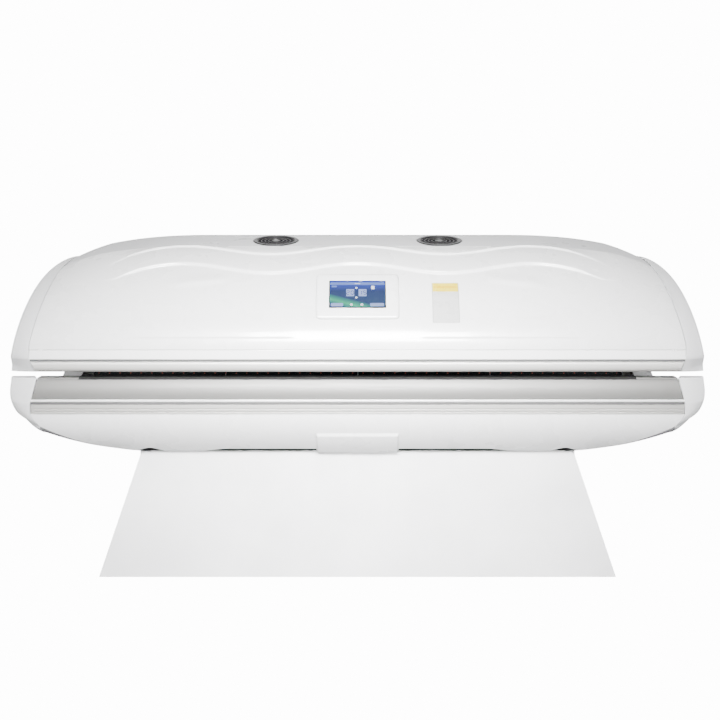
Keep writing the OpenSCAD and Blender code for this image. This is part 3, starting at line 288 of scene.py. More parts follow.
def vary(mat, socket, fac, low, high):
    """Drives a socket of the shader between two values or two colours."""
    nodes, links = mat.node_tree.nodes, mat.node_tree.links
    ramp = nodes.new("ShaderNodeValToRGB")
    for element, position, value in zip(ramp.color_ramp.elements, (0.3, 0.7), (low, high)):
        element.position = position
        element.color = (*value, 1) if isinstance(value, tuple) else (value, value, value, 1)
    links.new(fac, ramp.inputs["Fac"])
    links.new(ramp.outputs["Color"], shader_of(mat).inputs[socket])


def bump(mat, fac, strength, distance):
    nodes, links = mat.node_tree.nodes, mat.node_tree.links
    node = nodes.new("ShaderNodeBump")
    node.inputs["Strength"].default_value = strength
    node.inputs["Distance"].default_value = distance
    links.new(fac, node.inputs["Height"])
    links.new(node.outputs["Normal"], shader_of(mat).inputs["Normal"])


def moulded(name, colour, roughness, coat):
    """Moulded plastic: an even colour that drifts slightly, with a faint orange peel."""
    mat = node_material(name, colour, roughness, coat=coat)
    darker = tuple(c * 0.965 for c in colour)
    vary(mat, "Base Color", noise(mat, 1.6, 2), darker, colour)
    vary(mat, "Roughness", noise(mat, 9, 4), roughness - 0.03, roughness + 0.05)
    bump(mat, noise(mat, 190, 2), 0.05, 0.0004)
    return mat


def brushed(name, colour, roughness, metallic=1.0):
    """Brushed metal with its grain along the bed."""
    mat = node_material(name, colour, roughness, metallic=metallic)
    grain = noise(mat, 700, 4, (0.006, 1, 1))
    vary(mat, "Roughness", grain, roughness - 0.06, roughness + 0.1)
    vary(mat, "Base Color", noise(mat, 260, 3, (0.01, 1, 1)), tuple(c * 0.9 for c in colour), colour)
    bump(mat, grain, 0.12, 0.0003)
    return mat


def box_axes(mat):
    """Sockets that run from 0 to 1 through the piece's box, named X, Y and Z."""
    nodes, links = mat.node_tree.nodes, mat.node_tree.links
    place = nodes.new("ShaderNodeTexCoord")
    split = nodes.new("ShaderNodeSeparateXYZ")
    links.new(place.outputs["Generated"], split.inputs[0])
    return split.outputs


def above(mat, level):
    """A mask that is 1 above a share of the piece's height and 0 below it."""
    test = mat.node_tree.nodes.new("ShaderNodeMath")
    test.operation = "GREATER_THAN"
    test.inputs[1].default_value = level
    mat.node_tree.links.new(box_axes(mat)["Z"], test.inputs[0])
    return test.outputs[0]


def cast(name, colour, roughness, metallic, scale, depth):
    """A surface with an even fine grain, such as powder coat, zinc or nylon."""
    mat = node_material(name, colour, roughness, metallic=metallic)
    vary(mat, "Base Color", noise(mat, 6, 5), tuple(c * 0.88 for c in colour), colour)
    vary(mat, "Roughness", noise(mat, 30, 4), roughness - 0.05, roughness + 0.08)
    bump(mat, noise(mat, scale, 3), 0.3, depth)
    return mat


white_shell = moulded("white_shell", (0.80, 0.80, 0.805), 0.27, 0.5)
cap_white = moulded("cap_white", (0.69, 0.69, 0.70), 0.3, 0.3)
# The roof is darker than the shell as painted shade, for its panel facing up away from the front light
roof_grey = moulded("roof_grey", (0.50, 0.50, 0.51), 0.3, 0.2)
belt_white = moulded("belt_white", (0.95, 0.95, 0.95), 0.14, 1.0)
brushed_rail = brushed("brushed_rail", (0.60, 0.595, 0.575), 0.4, 0.3)
# The bench rail's metal carries painted shade: darker than the lid's rail, and darker in its upper part with
# the cove than on the web below, as shaded and lit tones of one aluminium
cove_shaded_tone, web_lit_tone = (0.18, 0.178, 0.171), (0.42, 0.415, 0.4)
cove_metal_painted_shade = brushed("cove_metal_painted_shade", cove_shaded_tone, 0.42, 0.35)
vary(cove_metal_painted_shade, "Base Color", above(cove_metal_painted_shade, 0.31), web_lit_tone, cove_shaded_tone)
plain_aluminium = brushed("plain_aluminium", (0.7, 0.71, 0.72), 0.42)
panel_white = cast("panel_white", (0.79, 0.79, 0.80), 0.42, 0.0, 900, 0.0001)
panel_grey = cast("panel_grey", (0.45, 0.47, 0.49), 0.45, 0.0, 900, 0.0001)
dark_pan = cast("dark_pan", (0.30, 0.30, 0.31), 0.5, 0.0, 500, 0.0001)
frame_steel = cast("frame_steel", (0.10, 0.11, 0.12), 0.45, 0.0, 900, 0.0001)
# The deck is near-black as painted shade of the gap between the skirts and the pedestal
deck_dark = cast("deck_dark", (0.045, 0.045, 0.05), 0.6, 0.0, 400, 0.0002)
black_plastic = cast("black_plastic", (0.018, 0.018, 0.02), 0.45, 0.0, 700, 0.00015)
steel_zinc = cast("steel_zinc", (0.62, 0.62, 0.6), 0.32, 1.0, 350, 0.0001)
chrome = cast("chrome", (0.82, 0.82, 0.83), 0.1, 1.0, 40, 0.00002)
dark_chrome = cast("dark_chrome", (0.50, 0.50, 0.505), 0.14, 1.0, 40, 0.00002)
spring_black = cast("spring_black", (0.02, 0.02, 0.022), 0.28, 0.0, 60, 0.00005)
seal_grey = cast("seal_grey", (0.12, 0.12, 0.12), 0.6, 0.0, 300, 0.0001)
# Near-black for the strips of painted shade in the gap under the lid and behind the skirts
shade_strip_black = cast("shade_strip_black", (0.02, 0.02, 0.02), 0.7, 0.0, 300, 0.0001)
for mat in (seal_grey, shade_strip_black):
    shader_of(mat).inputs["Specular IOR Level"].default_value = 0.05
led_board = cast("led_board", (0.035, 0.037, 0.04), 0.45, 0.0, 120, 0.0001)
light_bar = cast("light_bar", (0.05, 0.05, 0.052), 0.35, 0.0, 200, 0.0001)
card_white = cast("card_white", (0.52, 0.52, 0.518), 0.28, 0.0, 60, 0.00004)
# Grey for the painted shade along the card's edge
card_edge_shade_grey = cast("card_edge_shade_grey", (0.30, 0.30, 0.30), 0.35, 0.0, 60, 0.00004)
card_strip = cast("card_strip", (0.60, 0.40, 0.01), 0.28, 0.0, 60, 0.00004)
card_yellow = cast("card_yellow", (0.66, 0.52, 0.035), 0.28, 0.0, 60, 0.00004)
lens_red = cast("lens_red", (0.72, 0.28, 0.24), 0.15, 0.0, 60, 0.00004)
screen_glass = cast("screen_glass", (0.01, 0.013, 0.02), 0.1, 0.0, 20, 0.00001)
acrylic = cast("acrylic", (0.12, 0.125, 0.13), 0.08, 0.0, 15, 0.00002)
shader_of(acrylic).inputs["Alpha"].default_value = 0.12


def lit(name, colour, strength):
    """A part of the display's picture: nearly black by itself, with light of its own."""
    mat = node_material(name, (0.01, 0.01, 0.012), 0.2)
    shader = shader_of(mat)
    shader.inputs["Specular IOR Level"].default_value = 0.1
    shader.inputs["Emission Strength"].default_value = strength
    shader.inputs["Emission Color"].default_value = (*colour, 1)
    vary(mat, "Emission Color", noise(mat, 40, 2), tuple(c * 0.94 for c in colour), colour)
    return mat


screen_white = lit("screen_white", (0.9, 0.93, 1.0), 2.6)
screen_pale = lit("screen_pale", (0.22, 0.36, 0.95), 1.3)
screen_box = lit("screen_box", (0.42, 0.55, 1.0), 1.5)
screen_navy = lit("screen_navy", (0.01, 0.02, 0.16), 0.5)
screen_picture = lit("screen_picture", (0.06, 0.1, 0.5), 1.6)


def picture_colours(mat):
    """Blue at the top, dark teal below, with a green sweep from the lower left."""
    nodes, links = mat.node_tree.nodes, mat.node_tree.links
    axes = box_axes(mat)
    sky = nodes.new("ShaderNodeValToRGB")
    sky.color_ramp.elements[0].color = (0.015, 0.06, 0.16, 1)
    sky.color_ramp.elements[1].color = (0.03, 0.07, 0.6, 1)
    sky.color_ramp.elements.new(0.62).color = (0.008, 0.035, 0.15, 1)
    links.new(axes["Z"], sky.inputs["Fac"])
    sweep = nodes.new("ShaderNodeMath")
    sweep.operation = "MULTIPLY_ADD"
    sweep.inputs[1].default_value = 0.55
    links.new(axes["X"], sweep.inputs[0])
    links.new(axes["Z"], sweep.inputs[2])
    band = nodes.new("ShaderNodeValToRGB")
    for element, position in zip(band.color_ramp.elements, (0.12, 0.52)):
        element.position = position
        element.color = (0, 0, 0, 1)
    band.color_ramp.elements.new(0.3).color = (0.02, 0.42, 0.10, 1)
    links.new(sweep.outputs[0], band.inputs["Fac"])
    both = nodes.new("ShaderNodeMix")
    both.data_type = "RGBA"
    both.blend_type = "ADD"
    both.inputs["Factor"].default_value = 1
    links.new(sky.outputs["Color"], both.inputs["A"])
    links.new(band.outputs["Color"], both.inputs["B"])
    links.new(both.outputs["Result"], shader_of(mat).inputs["Emission Color"])


picture_colours(screen_picture)

SLOT_MATERIALS = {
    "white_shell": white_shell, "roof_grey": roof_grey, "white_belt": belt_white, "cap_white": cap_white,
    "brushed_rail": brushed_rail, "acrylic": acrylic, "led_board": led_board, "light_bar": light_bar,
    "heat_sink": plain_aluminium, "rib_plate": plain_aluminium, "frame_steel": frame_steel,
    "pan_metal": dark_pan, "panel_white": panel_white, "deck_dark": deck_dark,
    "black_plastic": black_plastic, "driver_case": plain_aluminium, "panel_grey": panel_grey,
    "steel_zinc": steel_zinc, "chrome_ring": dark_chrome, "screen_glass": screen_glass,
    "card_white": card_white, "spring_black": spring_black, "rod_chrome": chrome,
}
for subpart in frame["record"]["subparts"]:
    node = frame["nodes"][subpart["node"]]
    for slot in node.material_slots:
        slot.material = SLOT_MATERIALS[subpart["material_slot"]]


# Pieces
def placed(name, data):
    """A new object of the scene that holds a mesh, a light or the camera."""
    obj = bpy.data.objects.new(name, data)
    bpy.context.scene.collection.objects.link(obj)
    return obj


def piece(name, points, faces, body, material, slot, round_edge=0.0, sharp=38):
    """A mesh from points in millimetres, on a body; round_edge rounds edges above the sharp angle."""
    mesh = bpy.data.meshes.new(name)
    mesh.from_pydata([Vector(p) * MM for p in points], [], faces)
    mesh.materials.append(material)
    mesh.shade_smooth()
    obj = placed(name, mesh)
    if round_edge:
        bevel = obj.modifiers.new("Rounded edges", "BEVEL")
        bevel.width = round_edge * MM
        bevel.segments = 3
        bevel.limit_method = "ANGLE"
        bevel.angle_limit = math.radians(sharp)
        bevel.harden_normals = True
    else:
        mesh.set_sharp_from_angle(angle=math.radians(sharp))
    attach(obj, body)
    return obj


def skin_mesh(outer, inner, closed_ends=False):
    """Points and faces of a closed thin solid between two grids, as in the part's source."""
    rows, cols = len(outer), len(outer[0])
    half = rows * cols
    points = [p for row in outer for p in row] + [p for row in inner for p in row]
    faces = []
    for i in range(rows - 1):
        for j in range(cols - 1):
            a, b, c, d = i * cols + j, i * cols + j + 1, (i + 1) * cols + j + 1, (i + 1) * cols + j
            faces.append((a, b, c, d))
            faces.append((half + a, half + d, half + c, half + b))
    last = (rows - 1) * cols
    for j in range(cols - 1):
        faces.append((j + 1, j, half + j, half + j + 1))
        faces.append((last + j, last + j + 1, half + last + j + 1, half + last + j))
    if closed_ends:
        first = [i * cols for i in range(rows)]
        final = [i * cols + cols - 1 for i in range(rows)]
        faces.append(tuple(reversed(first)))
        faces.append(tuple(half + v for v in first))
        faces.append(tuple(final))
        faces.append(tuple(half + v for v in reversed(final)))
        for a, b in ((first[0], first[-1]), (final[-1], final[0])):
            faces.append((a, b, half + b, half + a))
    else:
        for i in range(rows - 1):
            a, b = i * cols, (i + 1) * cols
            faces.append((a, b, half + b, half + a))
            a, b = a + cols - 1, b + cols - 1
            faces.append((b, a, half + a, half + b))
    return points, faces


def holed_mesh(outer, inner, hole):
    """As skin_mesh, without the cells where hole(i, j) holds, and with a wall round them."""
    rows, cols = len(outer), len(outer[0])
    half = rows * cols
    kept = {(i, j) for i in range(rows - 1) for j in range(cols - 1) if not hole(i, j)}
    points = [p for row in outer for p in row] + [p for row in inner for p in row]
    faces = []
    for i, j in sorted(kept):
        a, b, c, d = i * cols + j, i * cols + j + 1, (i + 1) * cols + j + 1, (i + 1) * cols + j
        faces.append((a, b, c, d))
        faces.append((half + a, half + d, half + c, half + b))
        for p, q, beside in ((b, a, (i - 1, j)), (c, b, (i, j + 1)), (d, c, (i + 1, j)), (a, d, (i, j - 1))):
            if beside not in kept:
                faces.append((p, q, half + q, half + p))
    return points, faces


def prism_faces(count):
    """Faces of a solid between two rings of count points, the first ring at its foot."""
    faces = [tuple(reversed(range(count))), tuple(range(count, 2 * count))]
    faces += [(k, (k + 1) % count, (k + 1) % count + count, k + count) for k in range(count)]
    return faces


def mirrored(points, faces, axis):
    flipped = [Vector(p) for p in points]
    for p in flipped:
        p[axis] = -p[axis]
    return flipped, [tuple(reversed(f)) for f in faces]


def cut(obj, cutters):
    """Cuts each solid out of the piece and deletes the solids."""
    for cutter in cutters:
        boolean = obj.modifiers.new("Cut", "BOOLEAN")
        boolean.object = cutter
        boolean.solver = "EXACT"
    ready = obj.evaluated_get(bpy.context.evaluated_depsgraph_get())
    mesh = bpy.data.meshes.new_from_object(ready)
    mesh.name = obj.name
    obj.modifiers.clear()
    obj.data = mesh
    for cutter in cutters:
        bpy.data.objects.remove(cutter)


# Lid shells
def front_rows(x):
    """Angles on the lid, each with the relief there: two waved steps that face forwards."""
    rise = WAVE_RISE * wave_fade(x)
    low_start, low_end = wave_low(x) - WAVE_EDGE, wave_low(x) + WAVE_EDGE
    high_start, high_end = wave_high(x) - WAVE_EDGE, wave_high(x) + WAVE_EDGE
    rows = [(t, 0.0) for t in steps(belt_angle(x), CREASE_FOOT - 0.2, 5)]
    rows += [(t, 0.0) for t in steps(CREASE_FOOT + 0.1, CREASE_TOP, 4)]
    rows += [(t, 0.0) for t in steps(CREASE_TOP + 0.6, low_start, 34)]
    rows += [(blend(low_start, low_end, k), rise * smooth(k)) for k in steps(0.12, 1, 8)]
    rows += [(blend(low_end, high_start, k), rise * (1 - 0.5 * k)) for k in steps(0.1, 1, 10)]
    rows += [(blend(high_start, high_end, k), rise * (0.5 + 0.6 * smooth(k))) for k in steps(0.12, 1, 8)]
    rows += [(blend(high_end, RIDGE_ANGLE, k), rise * 1.1 * (1 - smooth(k))) for k in steps(0.1, 1, 10)]
    return rows


def crease(x, t):
    """The fine line above the belt, a step that fades out upwards."""
    reach = smooth((abs(x) - 190) / 40) * (1 - smooth((abs(x) - 660) / 90))
    step = smooth((t - CREASE_FOOT) / 0.9) * (1 - smooth((t - CREASE_TOP) / 12))
    return CREASE_RISE * reach * step


def crescent(x, t):
    """A short curved step at each side, between the wave and the crease."""
    a = abs(x)
    middle = 38.6 - 3.4 * share((a - 400) / 200)
    reach = smooth((a - 390) / 70) * (1 - smooth((a - 540) / 80))
    step = smooth((t - middle + 0.8) / 1.6) * (1 - smooth((t - middle - 0.8) / 6))
    return CRESCENT_RISE * reach * step


REAR_SEAM_ANGLE = 0.05
ROOF_SEAM_ANGLE = 0.08
SCREEN_SEAT = 6
shell_stations = steps(-SHELL_HALF, SHELL_HALF, 260)


def lid_skin(grid, recess):
    """A shell of the lid between a grid and the same grid one wall further in."""
    return skin_mesh([grid(x, -recess) for x in shell_stations],
                     [grid(x, -recess - SHELL_WALL) for x in shell_stations])


def front_grid(x, off):
    return [lid_point(x, t, off + rise + crease(x, t) + crescent(x, t)) for t, rise in front_rows(x)]


def rear_grid(x, off):
    return [lid_point(x, t, off) for t in steps(REAR_SEAM_ANGLE, RIDGE_ANGLE, 40)]


def roof_grid(x, off):
    front_seam = RIDGE_ANGLE + ROOF_SEAM_ANGLE
    return [lid_point(x, t, off) for t in steps(front_seam, 180 - front_seam, 40)]


def cutting_solid(name, points, faces, place, angle):
    """A solid to cut with, tilted about X and moved to its place."""
    turn = Matrix.Rotation(math.radians(angle), 4, "X")
    mesh = bpy.data.meshes.new(name)
    mesh.from_pydata([(turn @ Vector(p) + Vector(place)) * MM for p in points], [], faces)
    return placed(name, mesh)


def block(name, size, place, angle=0.0):
    x, y, z = (s / 2 for s in size)
    corners = [(a, b, c) for a in (-x, x) for b in (-y, y) for c in (-z, z)]
    return cutting_solid(name, corners, BOX_FACES, place, angle)


def drum(name, radius, place, angle, sides=96, half=30):
    ring = [(radius * cos(360 * k / sides), radius * sin(360 * k / sides)) for k in range(sides)]
    points = [(x, y, z) for z in (-half, half) for x, y in ring]
    return cutting_solid(name, points, prism_faces(sides), place, angle)


def lid_tilt(t):
    """The lid's slope from level, at an angle on it."""
    return math.degrees(math.atan2(cos(t) / HALF_DEPTH, sin(t) / LID_CROWN))


front = piece("lid_front_surface", *lid_skin(front_grid, 0), "lid", white_shell, "white_shell", 2)
hole_size = (SCREEN_WIDTH - 2 * SCREEN_SEAT, SCREEN_HEIGHT - 2 * SCREEN_SEAT, 60)
cut(front, [block("screen_hole", hole_size, lid_point(0, SCREEN_ANGLE), lid_tilt(SCREEN_ANGLE))])
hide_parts("lid_front_shell")

rear_mesh = mirrored(*lid_skin(rear_grid, 0), 1)
rear = piece("lid_rear_surface", *rear_mesh, "lid", white_shell, "white_shell", 1.2)
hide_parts("lid_rear_shell")

roof = piece("lid_roof_surface", *lid_skin(roof_grid, ROOF_RECESS), "lid", roof_grey, "roof_grey", 1.2)
cut(roof, [drum("vent_hole", VENT_RADIUS + JOINT_GAP, lid_point(side * VENT_X, VENT_ANGLE),
                lid_tilt(VENT_ANGLE)) for side in (-1, 1)])
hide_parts("lid_roof_panel")


# End caps: swept trays, with the same sections as the source but finer
ROUND_STEPS = 14
CAP_START = SHELL_HALF + SEAM_GAP
CAP_ROUND = 60
LID_CAP_LAST = LID_CAP_STEPS + 4
BENCH_SIDES = 5
BENCH_STEPS = 11
CAP_TUCK = 38
END_EDGE_Z = 550
END_MIDDLE_Z = 470
END_HALF = 465

# Openings in the caps' inner walls for the gas springs: size, and place in the right cap
SPRING_SLOTS = {
    "lid": ((32, 76, 69), (1062, 462, 688)),
    "bench": ((32, 72, 70), (1062, 476, 615.5)),
}


def rounding(u, q):
    return 1 - (1 - u ** q) ** (1 / q)


def across(v):
    return Vector((0, v.y, v.z))


def cap_ring(o, e, i, q):
    """One section of a cap: from the seam over the rounding to the end, the mouth and back."""
    ring = []
    for k in range(ROUND_STEPS + 1):
        u = sin(90 * k / ROUND_STEPS)
        ring.append(Vector((blend(o.x, e.x, u), 0, 0)) + across(o.lerp(e, rounding(u, q))))
    return ring + [i, Vector((CAP_START, i.y, i.z))]


def cap_mesh(sections, lift):
    """A cap as a tray; lift moves its inner face off the edges that close on the other half."""
    last = len(sections) - 1
    outer, inner = [], []
    for k, (o, e, i, q) in enumerate(sections):
        outer.append(cap_ring(o, e, i, q))
        d = SHELL_WALL * across(i - o).normalized()
        up = Vector((0, 0, lift if k in (0, last) else 0))
        back = Vector((SHELL_WALL, 0, 0))
        inner.append(cap_ring(o + d + up, e + d + up - back, i - d + up - back, q))
    return skin_mesh([list(r) for r in zip(*outer)], [list(r) for r in zip(*inner)], closed_ends=True)


def lid_cap_outline(k):
    """The cap's edge at the seam, from the front rail (0) over the roof to the rear one."""
    if k > LID_CAP_LAST / 2:
        point = lid_cap_outline(LID_CAP_LAST - k)
        return Vector((point.x, -point.y, point.z))
    if k < 2:
        low, high = Vector((0, -EDGE_Y, LID_EDGE_Z)), Vector((0, -HALF_DEPTH, LID_BASE_Z))
        return low.lerp(high, k / 2) + Vector((CAP_START - LID_MITRE * (1 - k / 2), 0, 0))
    return lid_point(SHELL_HALF, 180 * (k - 2) / LID_CAP_STEPS) + Vector((SEAM_GAP, 0, 0))


def lid_cap_section(k):
    """The cap's edges at the seam, the end and the mouth, and how full its rounding is."""
    spread = math.degrees(math.asin(TUNNEL_HALF / LID_TUNNEL_RADIUS))
    a = blend(-spread, spread, k / LID_CAP_LAST)
    o = lid_cap_outline(k)
    i = Vector((0, LID_TUNNEL_RADIUS * sin(a), LID_TUNNEL_CENTRE + LID_TUNNEL_RADIUS * cos(a)))
    reach = across(i - o).length
    e = across(o).lerp(i, min(CAP_ROUND, 0.7 * reach) / reach)
    e.x, i.x = HALF_LENGTH - end_lean(e.z), HALF_LENGTH - end_lean(i.z)
    return o, e, i, 2 - 0.25 * share((e.z - LID_BASE_Z) / 200)


def bench_cap_outline(k):
    """The cap's edge at the seam, from the top edge (0) to the middle of the underside."""
    if k < 2:
        top, nose = Vector((-BENCH_MITRE, -EDGE_Y, BENCH_EDGE_Z)), Vector((0, -HALF_DEPTH, NOSE_HEIGHT))
        return top.lerp(nose, k / 2) + Vector((CAP_START, 0, 0))
    if k < 3:
        return Vector((CAP_START + 0.6 * (k - 2), -HALF_DEPTH, blend(NOSE_HEIGHT, SKIRT_HEIGHT, k - 2)))
    gap = Vector((SEAM_GAP + 0.6, 0, 0))
    if k <= BENCH_SIDES:
        return skirt_point(SHELL_HALF, (k - 3) / 2) + gap
    return pan_point(SHELL_HALF, -90 * (BENCH_STEPS - k) / (BENCH_STEPS - BENCH_SIDES)) + gap


def bench_cap_end(k):
    """The cap's edge where its rounding meets the flat end."""
    if k < 1:
        top = Vector((HALF_LENGTH, -EDGE_Y + 0.9 * CAP_TUCK, BENCH_EDGE_Z))
        return top.lerp(bench_cap_end(1), k)
    if k <= BENCH_SIDES:
        f = 90 * (k - 1) / (BENCH_SIDES - 1)
        y = -END_HALF - (HALF_DEPTH - CAP_TUCK - END_HALF) * cos(f)
        return Vector((HALF_LENGTH, y, blend((BENCH_EDGE_Z + NOSE_HEIGHT) / 2, END_EDGE_Z, sin(f))))
    f = 90 * (BENCH_STEPS - k) / (BENCH_STEPS - BENCH_SIDES)
    return Vector((HALF_LENGTH, -END_HALF * sin(f), blend(END_MIDDLE_Z, END_EDGE_Z, sin(f) ** 2)))


def bench_cap_section(k):
    """As lid_cap_section, from the front's top edge under the bench to the rear's."""
    if k > BENCH_STEPS:
        o, e, i, q = bench_cap_section(2 * BENCH_STEPS - k)
        return *(Vector((p.x, -p.y, p.z)) for p in (o, e, i)), q
    f = 90 * (BENCH_STEPS - k) / (BENCH_STEPS - BENCH_SIDES)
    y = TUNNEL_HALF - 4 * k if k <= BENCH_SIDES else (TUNNEL_HALF - 4 * BENCH_SIDES) * sin(f)
    i = Vector((HALF_LENGTH, -y, BENCH_TUNNEL_CENTRE - math.sqrt(BENCH_TUNNEL_RADIUS ** 2 - y * y)))
    q = blend(2, 1.6, share(k - 2)) if k < 4 else blend(1.6, 1.25, share(k - 4))
    return bench_cap_outline(k), bench_cap_end(k), i, q


lid_cap_sections = [lid_cap_section(k) for k in steps(0, LID_CAP_LAST, 4 * LID_CAP_LAST)]
bench_cap_sections = [bench_cap_section(k) for k in steps(2 * BENCH_STEPS, 0, 12 * BENCH_STEPS)]
for part, sections, lift in (("lid", lid_cap_sections, SHELL_WALL),
                             ("bench", bench_cap_sections, -SHELL_WALL)):
    right = cap_mesh(sections, lift)
    slot_size, (slot_x, slot_y, slot_z) = SPRING_SLOTS[part]
    for side, sign, mesh in (("right", 1, right), ("left", -1, mirrored(*right, 0))):
        cap = piece(f"{part}_{side}_cap_surface", *mesh, part, cap_white, "cap_white", 2.5, 50)
        cut(cap, [block("slot", slot_size, (sign * slot_x, slot_y, slot_z))])
        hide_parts(f"{part}_{side}_cap")


# Bench shells and floor pan
def skirt_boss(x, f):
    """How far the raised middle stands proud at a share of the skirt's height."""
    return BOSS_RISE * smooth((BOSS_HALF - abs(x)) / 6) * smooth((f - 0.44) / 0.06)


def skirt_grid(x, off, boss):
    rows = steps(0, 0.42, 10) + steps(0.44, 0.51, 7) + steps(0.54, 1, 14)
    grid = []
    for f in reversed(rows):
        grid.append(skirt_point(x, f * skirt_reach(x), off + (skirt_boss(x, f) if boss else 0)))
    return grid


skirt_stations = (steps(-SHELL_HALF, -140, 120) + steps(-BOSS_HALF, -124, 6) + steps(-110, 110, 16)
                  + steps(124, BOSS_HALF, 6) + steps(140, SHELL_HALF, 120))
for side, boss in (("front", True), ("rear", False)):
    mesh = skin_mesh([skirt_grid(x, 0, boss) for x in skirt_stations],
                     [skirt_grid(x, -SHELL_WALL, boss) for x in skirt_stations])
    if side == "rear":
        mesh = mirrored(*mesh, 1)
    shell = piece(f"bench_{side}_surface", *mesh, "bench", white_shell, "white_shell", 1.2)
    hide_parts(f"bench_{side}_shell")

PAN_INSET = SHELL_WALL + JOINT_GAP + 1
PAN_WALL = 3


def pan_row(x, off):
    inside = 1 - PAN_INSET / pan_half(x)
    line = [pan_point(x, a, off) for a in steps(90, -90, 60)]
    return [Vector((-p.x, p.y * inside, p.z)) for p in line]


pan_stations = shell_stations[:-1:3] + shell_stations[-1:]
pan_grids = [[pan_row(x, off) for x in pan_stations] for off in (0, PAN_WALL)]
pan = piece("bench_floor_surface", *skin_mesh(*pan_grids), "bench", dark_pan, "pan_metal", 0.8)
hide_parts("bench_floor_pan")


# Rails, belt and trims: extrusions along the bed, the rails with mitred ends
GROOVE_Z = LID_BASE_Z - 10.5
BELT_FOOT_Z = LID_BASE_Z - 3.5
BENCH_SHEET_Z = 619
SHEET_SLOT_Y = 490.5
SHEET_LEDGE_Y = 478
RAIL_LIP_Z = 636.2
FLANGE_Y = 567
FLANGE_Z = 528.3
COVE_FOOT_Z = NOSE_HEIGHT + 16
COVE_TOP_Z = BENCH_EDGE_Z - 6
SEAL_HALF = RAIL_HALF - 1
GAP_SHADE_HALF = 880
LIP_HALF = PEDESTAL_HALF - 1


def extruded(outline, end):
    """Sweeps an outline of (y, z) points along the bed; end gives the half length at a height."""
    turns = sum(a[0] * b[1] - b[0] * a[1] for a, b in zip(outline, outline[1:] + outline[:1]))
    ring = outline if turns > 0 else outline[::-1]
    points = [Vector((side * end(z), y, z)) for side in (-1, 1) for y, z in ring]
    return points, prism_faces(len(ring))


def lid_rail_end(z):
    return RAIL_HALF - LID_MITRE * share((LID_BASE_Z - z) / (LID_BASE_Z - LID_EDGE_Z))


def bench_rail_end(z):
    return RAIL_HALF - BENCH_MITRE * share((z - NOSE_HEIGHT) / (BENCH_EDGE_Z - NOSE_HEIGHT))


def bowed(a, b, bulge, n):
    """Points from a to b on an arc that stands out by bulge to the right."""
    along = Vector((b[0] - a[0], b[1] - a[1]))
    side = Vector((along.y, -along.x)).normalized()
    line = [Vector(a) + along * k + side * bulge * (1 - (2 * k - 1) ** 2) for k in steps(0, 1, n)]
    return [tuple(p) for p in line]


# Trims along the rails, seals in their grooves, black strips of painted shade in the gaps, and the lips that
# close the pedestal to the skirts
nose_trim = bowed((572, 566.5), (572, 577), 4.5, 8)
nose_seal = [(567, 559), (570.5, 559), (570.5, 566.5), (567, 566.5)]
# A black strip over the bench rail's top face and down its front edge: painted shade of the gap under the
# lid
gap_shade_strip = [(488, 640.6), (541.2, 640.6), (541.6, 634.7), (544.4, 634.7), (543.6, 641.2), (542, 642.4),
            (488, 642.4)]
belt_seal = [(562, 694.6), (570.5, 694.6), (570.5, 701.4), (567.9, 701.4), (567.9, 704.8), (562, 704.8)]
# A black strip behind the skirts' lower edge: painted shade in the openings between skirt and pedestal
skirt_shade_strip = [(PEDESTAL_DEPTH + y, z) for y, z in ((-11, 384), (-7, 384), (-7, 402), (-11, 402))]
lip = [(PEDESTAL_DEPTH + y, z) for y, z in (
    (3.5, 374), (0.6, 383), (-1.6, 389.8), (-2.6, 391.3), (-4.2, 391.5), (-4.4, 383.4), (-0.2, 383.2),
    (2, 374))]
for name, outline, half, body, material, slot, edge in (
        ("nose_trim", nose_trim, RAIL_HALF, "bench", belt_white, "white_belt", 0.5),
        ("nose_seal", nose_seal, SEAL_HALF, "bench", seal_grey, "black_plastic", 0.3),
        ("gap_shade_strip", gap_shade_strip, GAP_SHADE_HALF, "bench", shade_strip_black, "black_plastic", 0.3),
        ("belt_seal", belt_seal, SEAL_HALF, "lid", seal_grey, "black_plastic", 0.3),
        ("skirt_shade_strip", skirt_shade_strip, LIP_HALF, "bench", shade_strip_black, "black_plastic", 0.3),
        ("pedestal_lip", lip, LIP_HALF, "bench", panel_white, "panel_white", 0.4)):
    for side, sign in (("rear", 1), ("front", -1)):
        if name == "belt_seal" and side == "rear":
            continue
        mesh = extruded([(sign * y, z) for y, z in outline], lambda z: half)
        piece(f"{name}_{side}", *mesh, body, material, slot, edge, 30)

# The lid's rail rounds over its nose up to the groove under the belt
lid_rail_outline = [
    (RAIL_LIP, LID_EDGE_Z), (EDGE_Y, LID_EDGE_Z), (557, 662), (566, 665.8), (571.5, 670.5), (574, 675.5),
    (574.7, 681), (574.6, 686.5), (574, 690.5), (572.5, 693), (569.5, GROOVE_Z), (565, GROOVE_Z),
    (565, LID_BASE_Z), (RAIL_TOP_Y, LID_BASE_Z), (RAIL_FOOT_Y, LEDGE_Z), (RAIL_LIP, LEDGE_Z)]

